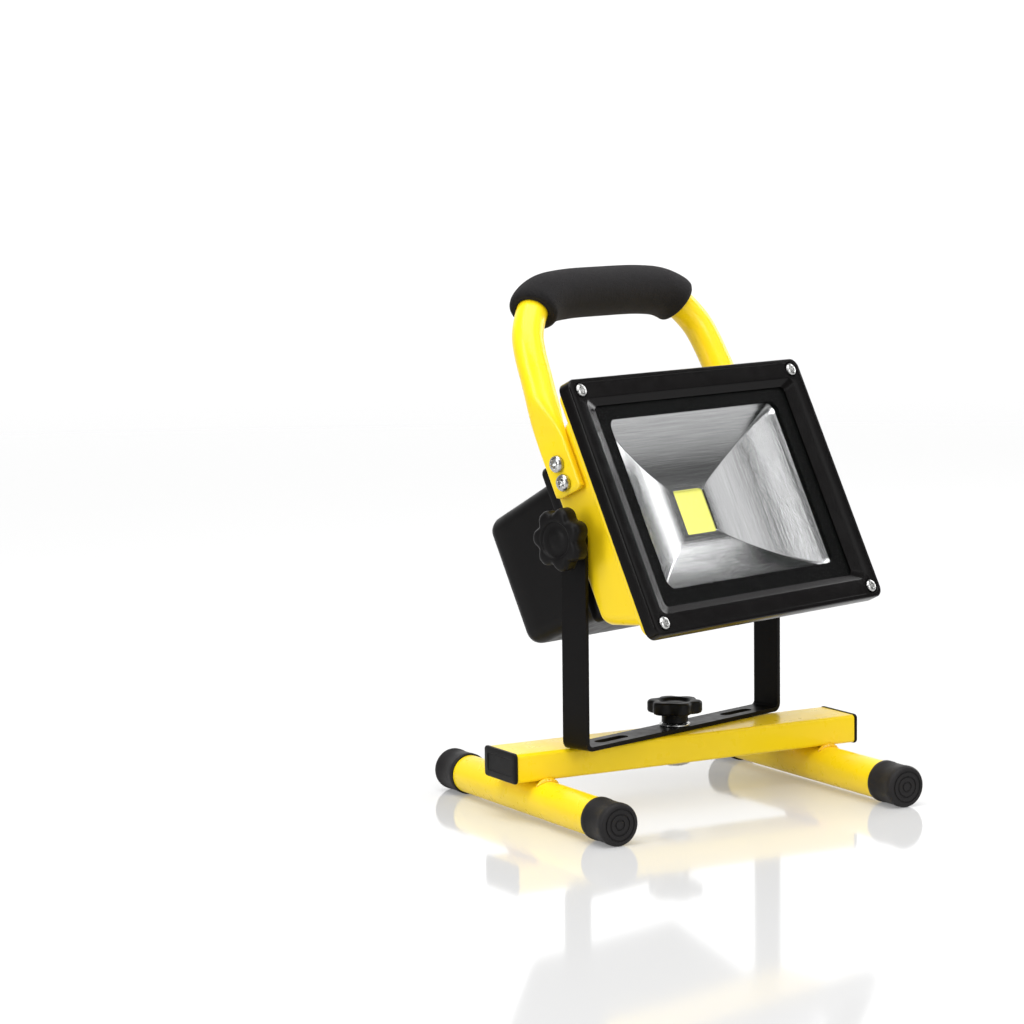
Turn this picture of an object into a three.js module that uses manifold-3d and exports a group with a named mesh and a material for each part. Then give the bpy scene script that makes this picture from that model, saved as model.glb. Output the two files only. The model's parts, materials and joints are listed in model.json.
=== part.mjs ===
// Rechargeable LED work light on an H-shaped floor stand.
// Millimetres, +Z up. The origin is on the ground, under the swivel bolt at the middle of the stand.
// X runs along the cross bar, and the lamp faces -Y, turned on its swivel and tilted up.
//
// The lamp head is modelled in a face frame of its own: x to the right along the face, y up the face,
// z out of the glass, with its origin on the tilt axis.

import * as THREE from 'three';
import { mergeVertices } from 'three/addons/utils/BufferGeometryUtils.js';
import Module from 'manifold-3d';

const wasm = await Module();
wasm.setup();

const degrees = THREE.MathUtils.degToRad;

// ---------------------------------------------------------------- driving dimensions

const CLEARANCE = 0.3; // between pieces that touch or fit one in another

// pose at rest
const SWIVEL_ANGLE = degrees(17.5);
const TILT_ANGLE = degrees(25.5);

// stand
const FOOT_SPACING = 170; // between the two foot tubes' axes
const FOOT_TUBE_DIAMETER = 19.6;
const FOOT_TUBE_WALL = 1.5;
const FOOT_LENGTH = 170; // over the caps
const CAP_DIAMETER = 21.4;
const CAP_LENGTH = 19.5;
const CAP_END_THICKNESS = 2.4;
const BAR_LENGTH = 203.5;
const BAR_DEPTH = 31;
const BAR_HEIGHT = 14.7;
const BAR_WALL = 1.4;
const PLUG_FLANGE = 1.5;
const PLUG_LIP = 0.35; // how far the plug's flange stands proud of the bar
const PLUG_INSERT = 14;

// swivel
const SWIVEL_BOLT_DIAMETER = 7.8;
const BOLT_HOLE_DIAMETER = 8.4;

// hand knobs
const SWIVEL_KNOB = { diameter: 28.5, lobes: 6, hollow: 2.4, height: 11.6, headHeight: 6.6, hubRadius: 6.8 };
const TILT_KNOB = { diameter: 32, lobes: 7, hollow: 2.8, height: 12, headHeight: 9, hubRadius: 8 };
const KNOB_DISH = 1; // depth of the hollow in a knob's top

// U bracket
const BRACKET_WIDTH = 154; // over the arms
const STRIP_WIDTH = 16;
const STRIP_THICKNESS = 2.2;
const STRIP_BEND_RADIUS = 4.5;
const SLOT_START = 38;
const SLOT_END = 61;
const SLOT_WIDTH = 6;
const PIVOT_HEIGHT = 143;

// lamp head, along z from the tilt axis
const FACE_WIDTH = 180;
const FACE_HEIGHT = 134;
const FACE_RISE = 1; // the face's centre above the tilt axis
const BEZEL_FRONT = 42;
const BEZEL_BACK = 34.3;
const GLASS_FRONT = 38.3;
const FLANGE_FRONT = 34;
const FLANGE_BACK = 29.8;
const GROOVE_FLOOR = 32.5; // of the gasket's groove in the flange
const HOUSING_REAR = -4.8;
const PLATE_FRONT = -5.1;
const PLATE_REAR = -11.8;
const BOX_FRONT = -12.1;
const BOX_REAR = -71;

// lamp head, across
const BEZEL_OPENING = [81, 56.3]; // half width and half height, at the front
const BEZEL_LIP = [74.6, 52.8]; // the same, where the slope meets the glass
const GLASS_HALF = [79, 58];
const FLANGE_HALF = [87, 64];
const HOUSING_HALF_WIDTH = 72.3;
const HOUSING_REAR_HALF_HEIGHT = 46.8;
const HOUSING_FRONT_HALF_HEIGHT = 60.5;
const CAVITY_REAR_HALF = [66.5, 40];
const CAVITY_FRONT_HALF = [68.5, 53];
const BEZEL_SCREW = [82.4, 60.9];
const SCREW_RECESS = 1;
const WINDOW_HALF = [66.8, 46];
const EMITTER_SIZE = 23;
const EMITTER_FRONT = 14.9;

// handle
const HANDLE_PLANE = 6.5; // z of the handle's plane
const HANDLE_DIAMETER = 16;
const HANDLE_WALL = 1.2;
const STRAP_THICKNESS = 4;
const STRAP_WIDTH = 18.6;
const STRAP_TOP = 46; // below this height the tube is pressed flat
const STRAP_ROUND = 74; // above this height it is round
const GRIP_DIAMETER = 25.6;
const HANDLE_SCREW_HEIGHTS = [26.6, 36.6];
// the tube's centre line on the right-hand side, as x and y, from the strap's foot to the top
const HANDLE_LINE = [
  [74.7, 20.5],
  [74.7, 34],
  [74.6, 50],
  [72.6, 66],
  [70.6, 80],
  [68.8, 94],
  [66.2, 104],
  [61.3, 112],
  [54.2, 119.6],
  [44.8, 124.1],
  [30, 126.1],
];
const HANDLE_TOP = 126.6;
const GRIP_END_HEIGHT = 117.5;

// tilt knobs
const STUD_DIAMETER = 5.8;
const STUD_HOLE_DIAMETER = 6.5;
const STUD_TIP = 60.5; // distance of the stud's inner end from the middle of the lamp

// battery box
const BOX_HALF_WIDTH = 59.5;
const BOX_WALL = 2.4;
const BOX_SCREWS = [[50, 24], [50, -28], [-50, 24], [-50, -28]];
const LEAD_HOLE = [0, -32];
const CELL_DIAMETER = 18.2;
const CELL_LENGTH = 65;
const CELL_ROWS = [-22, -2, 18];
const CELL_LAYERS = [-26, -46];
const SWITCH_CENTRE = [42.2, -2];
const SWITCH_BORE = 15;
const ROCKER_ANGLE = degrees(8);
const SOCKET_CENTRE = [-42, -10];
const INDICATOR_CENTRE = [-42, 10];

// ---------------------------------------------------------------- materials

function finish(color, roughness, metalness) {
  return new THREE.MeshStandardMaterial({ color, roughness, metalness });
}

const yellowPaint = finish(0xf7cf12, 0.35, 0.0);
const blackPaint = finish(0x17171a, 0.45, 0.0);
const blackPlastic = finish(0x1c1b1d, 0.6, 0.0);
const blackRubber = finish(0x242325, 0.8, 0.0);
const blackFoam = finish(0x161517, 0.95, 0.0);
const zincSteel = finish(0xc4c4c2, 0.3, 1.0);
const brushedAluminium = finish(0xc9cccd, 0.35, 1.0);
const clearGlass = finish(0xdfe6e6, 0.05, 0.0);
const phosphor = finish(0xf2f03a, 0.6, 0.0);
const boardWhite = finish(0xe8e8e4, 0.5, 0.0);
const boardGreen = finish(0x1f5a34, 0.5, 0.0);
const cellSleeve = finish(0x2a5fa8, 0.4, 0.0);
const redPlastic = finish(0xb3201c, 0.4, 0.0);
const greySilicone = finish(0x77797a, 0.7, 0.0);

// ---------------------------------------------------------------- geometry helpers

function toSolid(geometry) {
  const bare = geometry.clone();
  bare.deleteAttribute('normal');
  bare.deleteAttribute('uv');
  const merged = mergeVertices(bare, 1e-4);
  return new wasm.Manifold(new wasm.Mesh({
    numProp: 3,
    vertProperties: new Float32Array(merged.attributes.position.array),
    triVerts: new Uint32Array(merged.index.array),
  }));
}

function toGeometry(solid) {
  const mesh = solid.getMesh();
  const geometry = new THREE.BufferGeometry();
  geometry.setAttribute('position', new THREE.BufferAttribute(new Float32Array(mesh.vertProperties), 3));
  geometry.setIndex(new THREE.BufferAttribute(new Uint32Array(mesh.triVerts), 1));
  geometry.computeVertexNormals();
  return geometry;
}

function cut(base, ...tools) {
  return toGeometry(tools.reduce((solid, tool) => solid.subtract(toSolid(tool)), toSolid(base)));
}

function join(base, ...others) {
  return toGeometry(others.reduce((solid, other) => solid.add(toSolid(other)), toSolid(base)));
}

function common(base, other) {
  return toGeometry(toSolid(base).intersect(toSolid(other)));
}

function box(xRange, yRange, zRange) {
  const size = [xRange, yRange, zRange].map(([low, high]) => high - low);
  const centre = [xRange, yRange, zRange].map(([low, high]) => (low + high) / 2);
  return new THREE.BoxGeometry(...size).translate(...centre);
}

const stepsFor = (radius) => (radius < 3.5 ? 12 : radius < 8 ? 18 : 24);

// A rod along z.
function rod(radius, low, high, x = 0, y = 0, steps = stepsFor(radius)) {
  return new THREE.CylinderGeometry(radius, radius, high - low, steps)
    .rotateX(Math.PI / 2)
    .translate(x, y, (low + high) / 2);
}

// A rod along x.
function crossRod(radius, low, high, y, z, steps = stepsFor(radius)) {
  return new THREE.CylinderGeometry(radius, radius, high - low, steps)
    .rotateZ(Math.PI / 2)
    .translate((low + high) / 2, y, z);
}

// A turned piece about the z axis, from a profile of [radius, z] points.
function turned(profile, steps) {
  const points = profile.map(([radius, z]) => new THREE.Vector2(radius, z));
  return new THREE.LatheGeometry(points, steps).rotateX(Math.PI / 2);
}

function ring(outer, inner, low, high, steps = stepsFor(outer)) {
  return turned([[inner, low], [outer, low], [outer, high], [inner, high], [inner, low]], steps);
}

function roundedRectangle(halfWidth, halfHeight, radius, rise = 0) {
  const shape = new THREE.Shape();
  const right = halfWidth - radius;
  const top = halfHeight - radius;
  shape.absarc(right, rise + top, radius, 0, Math.PI / 2, false);
  shape.absarc(-right, rise + top, radius, Math.PI / 2, Math.PI, false);
  shape.absarc(-right, rise - top, radius, Math.PI, Math.PI * 1.5, false);
  shape.absarc(right, rise - top, radius, Math.PI * 1.5, Math.PI * 2, false);
  return shape;
}

// A straight prism along z on an outline.
function prism(shape, low, high, curveSegments = 2) {
  return new THREE.ExtrudeGeometry(shape, { depth: high - low, bevelEnabled: false, curveSegments })
    .translate(0, 0, low);
}

function slab(halfSize, radius, rise, low, high) {
  return prism(roundedRectangle(halfSize[0], halfSize[1], radius, rise), low, high);
}

// Joins a stack of closed outlines, each an array of points, into one solid with flat ends.
function skin(outlines) {
  const count = outlines[0].length;
  const positions = outlines.flat().flatMap((point) => [point.x, point.y, point.z]);
  const triangles = [];
  for (let level = 0; level + 1 < outlines.length; level += 1) {
    for (let side = 0; side < count; side += 1) {
      const a = level * count + side;
      const b = level * count + ((side + 1) % count);
      triangles.push(a, b, b + count, a, b + count, a + count);
    }
  }
  const last = (outlines.length - 1) * count;
  for (let side = 1; side + 1 < count; side += 1) {
    triangles.push(0, side + 1, side);
    triangles.push(last, last + side, last + side + 1);
  }
  const geometry = new THREE.BufferGeometry();
  geometry.setAttribute('position', new THREE.Float32BufferAttribute(positions, 3));
  geometry.setIndex(triangles);
  return geometry;
}

// A tapered block: each level is { z, half: [width, height], radius, rise }.
function taper(levels) {
  return skin(levels.map(({ z, half, radius, rise = 0 }) => {
    const outline = roundedRectangle(half[0], half[1], radius, rise).getPoints(2);
    const closed = outline[0].distanceTo(outline.at(-1)) < 1e-6;
    const points = closed ? outline.slice(0, -1) : outline;
    return points.map((point) => new THREE.Vector3(point.x, point.y, z));
  }));
}

// ---------------------------------------------------------------- assembly

const workLight = new THREE.Group();
const bracketFrame = new THREE.Group();
const lampHead = new THREE.Group();
bracketFrame.rotation.z = SWIVEL_ANGLE;
lampHead.position.z = PIVOT_HEIGHT;
lampHead.rotation.x = Math.PI / 2 - TILT_ANGLE;
bracketFrame.add(lampHead);
workLight.add(bracketFrame);

function place(parent, name, geometry, material) {
  const mesh = new THREE.Mesh(geometry, material.clone());
  mesh.name = name;
  parent.add(mesh);
  return mesh;
}

// ---------------------------------------------------------------- stand

const footHeight = CAP_DIAMETER / 2;
const barBottom = footHeight + FOOT_TUBE_DIAMETER / 2 + CLEARANCE;
const barTop = barBottom + BAR_HEIGHT;

function addCrossBar() {
  const outer = box([-BAR_LENGTH / 2, BAR_LENGTH / 2], [-BAR_DEPTH / 2, BAR_DEPTH / 2], [barBottom, barTop]);
  const bore = box(
    [-BAR_LENGTH / 2 - 1, BAR_LENGTH / 2 + 1],
    [BAR_WALL - BAR_DEPTH / 2, BAR_DEPTH / 2 - BAR_WALL],
    [barBottom + BAR_WALL, barTop - BAR_WALL],
  );
  const boltHole = rod(BOLT_HOLE_DIAMETER / 2, barBottom - 1, barTop + 1);
  place(workLight, 'cross_bar', cut(outer, bore, boltHole), yellowPaint);
}

function addBarEndPlug(name, side) {
  const halfDepth = BAR_DEPTH / 2;
  const insertInset = BAR_WALL + CLEARANCE;
  const start = BAR_LENGTH / 2 + CLEARANCE;
  const flange = box(
    [start, start + PLUG_FLANGE],
    [-halfDepth - PLUG_LIP, halfDepth + PLUG_LIP],
    [barBottom - PLUG_LIP, barTop + PLUG_LIP],
  );
  const insert = box(
    [start - PLUG_INSERT, start + 0.5],
    [insertInset - halfDepth, halfDepth - insertInset],
    [barBottom + insertInset, barTop - insertInset],
  );
  const hollow = box(
    [start - PLUG_INSERT - 1, start - 2],
    [insertInset + 2 - halfDepth, halfDepth - insertInset - 2],
    [barBottom + insertInset + 2, barTop - insertInset - 2],
  );
  const plug = place(workLight, name, cut(join(flange, insert), hollow), blackPlastic);
  plug.rotation.z = side < 0 ? Math.PI : 0;
}

function addFoot(sideName, side) {
  const radius = FOOT_TUBE_DIAMETER / 2;
  const half = FOOT_LENGTH / 2 - CAP_END_THICKNESS - CLEARANCE;
  const pipe = ring(radius, radius - FOOT_TUBE_WALL, -half, half);
  const tube = place(workLight, `foot_tube_${sideName}`, pipe, yellowPaint);
  tube.position.set((side * FOOT_SPACING) / 2, 0, footHeight);
  tube.rotation.x = Math.PI / 2;
  const capRadius = CAP_DIAMETER / 2;
  const socketRadius = radius + CLEARANCE;
  const profile = [
    [0, -CAP_END_THICKNESS],
    [socketRadius, -CAP_END_THICKNESS],
    [socketRadius, -CAP_LENGTH],
    [capRadius, -CAP_LENGTH],
    [capRadius, -1.2],
    [capRadius - 1.2, 0],
    [0, 0],
  ];
  for (const [endName, end] of [['front', -1], ['rear', 1]]) {
    const cap = place(workLight, `foot_cap_${endName}_${sideName}`, turned(profile, 20), blackRubber);
    cap.position.set((side * FOOT_SPACING) / 2, (end * FOOT_LENGTH) / 2, footHeight);
    cap.rotation.x = (-end * Math.PI) / 2;
  }
}

function addSwivelBolt(top) {
  const shank = SWIVEL_BOLT_DIAMETER / 2;
  const headBottom = barBottom - CLEARANCE - 3.4;
  const profile = [
    [0, headBottom],
    [5, headBottom + 0.5],
    [8.4, headBottom + 2.2],
    [8.6, barBottom - CLEARANCE],
    [shank, barBottom - CLEARANCE],
    [shank, top - 0.8],
    [shank - 0.8, top],
    [0, top],
  ];
  place(workLight, 'swivel_bolt', turned(profile, 18), zincSteel);
}

// ---------------------------------------------------------------- knobs

// A lobed outline: broad round lobes with narrower hollows between them.
function lobedShape(radius, hollowDepth, lobes) {
  const steps = lobes * 5;
  const points = [];
  for (let step = 0; step < steps; step += 1) {
    const angle = (step / steps) * Math.PI * 2;
    const hollow = (0.5 - 0.5 * Math.cos(lobes * angle)) ** 1.6;
    const reach = radius - hollowDepth * hollow;
    points.push(new THREE.Vector2(reach * Math.cos(angle), reach * Math.sin(angle)));
  }
  return new THREE.Shape(points);
}

// A hand knob standing on z = 0, with a hub below a lobed head, a dished top and a blind bore from below.
function knob({ diameter, lobes, hollow, height, headHeight, hubRadius }, boreRadius) {
  const bevel = 1;
  const shoulder = height - headHeight + bevel;
  const head = new THREE.ExtrudeGeometry(lobedShape(diameter / 2 - bevel, hollow, lobes), {
    depth: headHeight - 2 * bevel,
    bevelThickness: bevel,
    bevelSize: bevel,
    bevelSegments: 1,
  }).translate(0, 0, shoulder);
  const hub = rod(hubRadius, 0, shoulder);
  const bore = rod(boreRadius, -1, 9);
  const dishRadius = diameter * 0.27;
  const dish = turned([
    [0, height - KNOB_DISH],
    [dishRadius, height - KNOB_DISH],
    [dishRadius + 1.6, height + KNOB_DISH],
    [0, height + KNOB_DISH],
  ], 20);
  return cut(join(head, hub), bore, dish);
}

// ---------------------------------------------------------------- U bracket and swivel

const bracketBottom = barTop + CLEARANCE;
const stripTop = bracketBottom + STRIP_THICKNESS;
const washerThickness = 1;
const swivelKnobBase = stripTop + washerThickness + 2 * CLEARANCE;

function addBracket() {
  const half = BRACKET_WIDTH / 2;
  const armTop = PIVOT_HEIGHT + STRIP_WIDTH / 2;
  const inner = half - STRIP_THICKNESS;
  const bend = STRIP_BEND_RADIUS;
  const innerBend = bend - STRIP_THICKNESS;
  const profile = new THREE.Shape();
  profile.moveTo(half, armTop);
  profile.lineTo(inner, armTop);
  profile.absarc(inner - innerBend, bracketBottom + bend, innerBend, 0, -Math.PI / 2, true);
  profile.absarc(innerBend - inner, bracketBottom + bend, innerBend, -Math.PI / 2, -Math.PI, true);
  profile.lineTo(-inner, armTop);
  profile.lineTo(-half, armTop);
  profile.absarc(bend - half, bracketBottom + bend, bend, Math.PI, Math.PI * 1.5, false);
  profile.absarc(half - bend, bracketBottom + bend, bend, Math.PI * 1.5, Math.PI * 2, false);
  const strip = prism(profile, -STRIP_WIDTH / 2, STRIP_WIDTH / 2).rotateX(Math.PI / 2);

  const side = new THREE.Shape();
  side.moveTo(-STRIP_WIDTH / 2, bracketBottom - 1);
  side.lineTo(STRIP_WIDTH / 2, bracketBottom - 1);
  side.absarc(0, PIVOT_HEIGHT, STRIP_WIDTH / 2, 0, Math.PI, false);
  const envelope = prism(side, -half - 1, half + 1, 10).rotateX(Math.PI / 2).rotateZ(Math.PI / 2);

  const slots = [-1, 1].map((direction) => {
    const middle = (direction * (SLOT_START + SLOT_END)) / 2;
    const outline = roundedRectangle((SLOT_END - SLOT_START) / 2, SLOT_WIDTH / 2, SLOT_WIDTH / 2 - 0.01);
    return prism(outline, bracketBottom - 1, stripTop + 1).translate(middle, 0, 0);
  });
  const boltHole = rod(BOLT_HOLE_DIAMETER / 2, bracketBottom - 1, stripTop + 1);
  const pivotHole = crossRod(STUD_HOLE_DIAMETER / 2, -half - 1, half + 1, 0, PIVOT_HEIGHT);
  place(bracketFrame, 'u_bracket', cut(common(strip, envelope), ...slots, boltHole, pivotHole), blackPaint);
}

function addSwivelKnob() {
  const washerBottom = stripTop + CLEARANCE;
  const washer = ring(8, BOLT_HOLE_DIAMETER / 2, washerBottom, washerBottom + washerThickness);
  place(bracketFrame, 'swivel_washer', washer, zincSteel);
  const insertRadius = 5.4;
  const shape = knob(SWIVEL_KNOB, insertRadius + CLEARANCE);
  place(bracketFrame, 'swivel_knob', shape, blackPlastic).position.z = swivelKnobBase;
  const insert = ring(insertRadius, BOLT_HOLE_DIAMETER / 2, 0.2, 8.6);
  place(bracketFrame, 'swivel_knob_insert', insert, zincSteel).position.z = swivelKnobBase;
}

// ---------------------------------------------------------------- lamp front

const bothSides = [['left', -1], ['right', 1]];
const bezelCorners = [-1, 1].flatMap((sideways) => [-1, 1].map((upward) => [
  sideways * BEZEL_SCREW[0],
  FACE_RISE + upward * BEZEL_SCREW[1],
]));

function addHousing() {
  const width = HOUSING_HALF_WIDTH;
  const rearHeight = HOUSING_REAR_HALF_HEIGHT;
  const body = taper([
    { z: HOUSING_REAR, half: [width - 1, rearHeight - 1], radius: 5, rise: FACE_RISE },
    { z: HOUSING_REAR + 1, half: [width, rearHeight], radius: 6, rise: FACE_RISE },
    { z: FLANGE_BACK + 0.5, half: [width, HOUSING_FRONT_HALF_HEIGHT], radius: 8, rise: FACE_RISE },
  ]);
  const flange = slab(FLANGE_HALF, 5, FACE_RISE, FLANGE_BACK, FLANGE_FRONT);
  const cavity = taper([
    { z: 0, half: CAVITY_REAR_HALF, radius: 5, rise: FACE_RISE },
    { z: FLANGE_FRONT + 1, half: CAVITY_FRONT_HALF, radius: 6, rise: FACE_RISE },
  ]);
  const shell = cut(join(body, flange), cavity);

  const emitterPad = box([-28, 28], [-26, 26], [-1, 11.9]);
  const studBosses = bothSides.map(([, side]) => {
    const reach = [58, CAVITY_REAR_HALF[0] + 2].map((x) => side * x).sort((a, b) => a - b);
    return box(reach, [-9, 9], [-1, 9]);
  });
  const studHoles = bothSides.map(([, side]) => {
    const reach = [STUD_TIP - 1.5, HOUSING_HALF_WIDTH + 1].map((x) => side * x).sort((a, b) => a - b);
    return crossRod(STUD_HOLE_DIAMETER / 2, reach[0], reach[1], 0, 0);
  });
  const strapHoles = HANDLE_SCREW_HEIGHTS.map((height) =>
    crossRod(2.5, -HOUSING_HALF_WIDTH - 1, HOUSING_HALF_WIDTH + 1, height, HANDLE_PLANE));
  const bezelHoles = bezelCorners.map(([x, y]) => rod(2, FLANGE_BACK - 1, FLANGE_FRONT + 1, x, y));
  const boxHoles = BOX_SCREWS.map(([x, y]) => rod(2, HOUSING_REAR - 1, 1, x, y));
  const leadHole = rod(5.3, HOUSING_REAR - 1, 1, ...LEAD_HOLE);
  const groove = cut(
    slab([78, 57.4], 5, FACE_RISE, GROOVE_FLOOR, FLANGE_FRONT + 1),
    slab([74.6, 54], 3, FACE_RISE, GROOVE_FLOOR - 1, FLANGE_FRONT + 2),
  );
  const filled = join(shell, emitterPad, ...studBosses);
  const finished = cut(filled, groove, leadHole, ...studHoles, ...strapHoles, ...bezelHoles, ...boxHoles);
  place(lampHead, 'housing', finished, yellowPaint);
}

function addBezel() {
  const [halfWidth, halfHeight] = [FACE_WIDTH / 2, FACE_HEIGHT / 2];
  const chamfer = 0.8;
  const outer = taper([
    { z: BEZEL_BACK, half: [halfWidth, halfHeight], radius: 5, rise: FACE_RISE },
    { z: BEZEL_FRONT - chamfer, half: [halfWidth, halfHeight], radius: 5, rise: FACE_RISE },
    { z: BEZEL_FRONT, half: [halfWidth - chamfer, halfHeight - chamfer], radius: 4.5, rise: FACE_RISE },
  ]);
  const rebateHalf = GLASS_HALF.map((size) => size + CLEARANCE);
  const rebate = slab(rebateHalf, 4, FACE_RISE, BEZEL_BACK - 1, GLASS_FRONT + CLEARANCE);
  const lipTop = GLASS_FRONT + CLEARANCE + 0.6;
  const opening = taper([
    { z: BEZEL_BACK, half: BEZEL_LIP, radius: 3, rise: FACE_RISE },
    { z: lipTop, half: BEZEL_LIP, radius: 3, rise: FACE_RISE },
    { z: BEZEL_FRONT, half: BEZEL_OPENING, radius: 4, rise: FACE_RISE },
    { z: BEZEL_FRONT + 1, half: BEZEL_OPENING, radius: 4, rise: FACE_RISE },
  ]);
  const recessFloor = BEZEL_FRONT - SCREW_RECESS;
  const recesses = bezelCorners.map(([x, y]) => rod(4, recessFloor, BEZEL_FRONT + 1, x, y, 16));
  const holes = bezelCorners.map(([x, y]) => rod(2, BEZEL_BACK - 1, BEZEL_FRONT, x, y));
  place(lampHead, 'bezel', cut(outer, rebate, opening, ...recesses, ...holes), blackPaint);
}

function addGlass() {
  place(lampHead, 'front_glass', slab(GLASS_HALF, 4, FACE_RISE, BEZEL_BACK, GLASS_FRONT), clearGlass);
  const outline = slab([77.7, 57.1], 4.7, FACE_RISE, GROOVE_FLOOR + CLEARANCE, FLANGE_FRONT);
  const middle = slab([74.9, 54.3], 3.3, FACE_RISE, GROOVE_FLOOR, FLANGE_FRONT + 1);
  const gasket = cut(outline, middle);
  place(lampHead, 'glass_gasket', gasket, greySilicone);
}

// The four sides of the reflector curve from the lamp's window down to the emitter.
function addReflector() {
  const neck = EMITTER_SIZE / 2 + CLEARANCE;
  const neckLow = 14.2;
  const neckHigh = 16.4;
  const rimHeight = 33.5;
  const levels = 5;
  const inner = [{ z: neckLow - 1, half: [neck, neck], radius: 1 }];
  const outer = [{ z: neckLow, half: [neck + 1, neck + 1], radius: 1.6 }];
  for (let level = 0; level <= levels; level += 1) {
    const spread = level / levels;
    const z = THREE.MathUtils.lerp(neckHigh, rimHeight, spread ** 1.3);
    const half = WINDOW_HALF.map((window) => THREE.MathUtils.lerp(neck + 0.4, window, spread));
    const radius = THREE.MathUtils.lerp(1, 6, spread);
    const rise = FACE_RISE * spread;
    inner.push({ z, half, radius, rise });
    outer.push({ z: z - 0.6, half: half.map((size) => size + 0.9), radius: radius + 0.9, rise });
  }
  inner.push({ z: rimHeight + 1, half: WINDOW_HALF, radius: 6, rise: FACE_RISE });
  outer.push({ z: rimHeight, half: WINDOW_HALF.map((size) => size + 0.9), radius: 6.9, rise: FACE_RISE });
  const rim = slab([WINDOW_HALF[0] + 1, WINDOW_HALF[1] + 5.3], 6, FACE_RISE, rimHeight - 0.9, rimHeight);
  place(lampHead, 'reflector', cut(join(taper(outer), rim), taper(inner)), brushedAluminium);
}

function addEmitter() {
  place(lampHead, 'led_board', box([-22, 22], [-20, 20], [12.2, 13.7]), boardWhite);
  const half = EMITTER_SIZE / 2;
  place(lampHead, 'led_emitter', box([-half, half], [-half, half], [14, EMITTER_FRONT]), phosphor);
}

// ---------------------------------------------------------------- screws

// A pan-head screw with its head's underside on z = 0 and its shank down -z.
function panScrew(headRadius, headHeight, shankRadius, length) {
  return turned([
    [0, -length],
    [shankRadius, -length],
    [shankRadius, 0],
    [headRadius, 0],
    [headRadius, headHeight * 0.45],
    [headRadius * 0.62, headHeight],
    [0, headHeight],
  ], 10);
}

function addScrews() {
  const bezelScrew = panScrew(3.4, 1.9, 1.7, 10.5);
  bezelCorners.forEach(([x, y], index) => {
    const screw = place(lampHead, `bezel_screw_${index + 1}`, bezelScrew, zincSteel);
    screw.position.set(x, y, BEZEL_FRONT - SCREW_RECESS + CLEARANCE);
  });
  const strapFace = HANDLE_LINE[0][0] + STRAP_THICKNESS / 2 + CLEARANCE;
  const strapScrew = panScrew(4.3, 2.8, 2.2, 10);
  for (const [sideName, side] of bothSides) {
    HANDLE_SCREW_HEIGHTS.forEach((height, index) => {
      const screw = place(lampHead, `handle_screw_${sideName}_${index + 1}`, strapScrew, zincSteel);
      screw.position.set(side * strapFace, height, HANDLE_PLANE);
      screw.rotation.y = (side * Math.PI) / 2;
    });
  }
  const boxScrew = panScrew(3.6, 2.4, 1.7, 66);
  BOX_SCREWS.forEach(([x, y], index) => {
    const screw = place(lampHead, `box_screw_${index + 1}`, boxScrew, zincSteel);
    screw.position.set(x, y, BOX_REAR + 3.4 - CLEARANCE);
    screw.rotation.x = Math.PI;
  });
}

// ---------------------------------------------------------------- handle and grip

const handleSide = HANDLE_LINE.map(([x, y]) => new THREE.Vector3(x, y, HANDLE_PLANE));
const handleCurve = new THREE.CatmullRomCurve3([
  ...handleSide.map((point) => new THREE.Vector3(-point.x, point.y, point.z)),
  new THREE.Vector3(0, HANDLE_TOP, HANDLE_PLANE),
  ...handleSide.toReversed(),
], false, 'centripetal');

// A closed ring of points around the handle's line. Half the thickness lies in the handle's plane, and half
// the width along z.
function sectionRing(at, halfThickness, halfWidth, squareness, steps) {
  const centre = handleCurve.getPointAt(at);
  const tangent = handleCurve.getTangentAt(at);
  const across = new THREE.Vector3(-tangent.y, tangent.x, 0).normalize();
  const bulge = (value) => Math.sign(value) * Math.abs(value) ** (2 / squareness);
  const points = [];
  for (let step = 0; step < steps; step += 1) {
    const angle = (step / steps) * Math.PI * 2;
    const point = centre.clone().addScaledVector(across, halfThickness * bulge(Math.cos(angle)));
    point.z += halfWidth * bulge(Math.sin(angle));
    points.push(point);
  }
  return points;
}

// The tube's outlines from one strap to the other, flat where it is screwed on and round above.
function handleRings(inset, stations, steps) {
  const outlines = [];
  for (let station = 0; station <= stations; station += 1) {
    const at = station / stations;
    const height = handleCurve.getPointAt(at).y;
    const roundness = THREE.MathUtils.smoothstep(height, STRAP_TOP, STRAP_ROUND);
    const halfThickness = THREE.MathUtils.lerp(STRAP_THICKNESS / 2, HANDLE_DIAMETER / 2, roundness) - inset;
    const halfWidth = THREE.MathUtils.lerp(STRAP_WIDTH / 2, HANDLE_DIAMETER / 2, roundness) - inset;
    const squareness = THREE.MathUtils.lerp(4.5, 2, roundness);
    outlines.push(sectionRing(at, halfThickness, halfWidth, squareness, steps));
  }
  return outlines;
}

// The same outlines with both ends carried on a little, so that they cut right through.
function extended(outlines) {
  const shift = (outline, amount) => outline.map((point) => point.clone().setY(point.y - amount));
  return [shift(outlines[0], 1), ...outlines.slice(1, -1), shift(outlines.at(-1), 1)];
}

function addHandle() {
  const outer = skin(handleRings(0, 34, 12));
  const bore = skin(extended(handleRings(HANDLE_WALL, 24, 8)));
  const reach = HANDLE_LINE[0][0] + STRAP_THICKNESS;
  const holes = HANDLE_SCREW_HEIGHTS.map((height) => crossRod(2.5, -reach, reach, height, HANDLE_PLANE));
  place(lampHead, 'handle_tube', cut(outer, bore, ...holes), yellowPaint);
}

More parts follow.
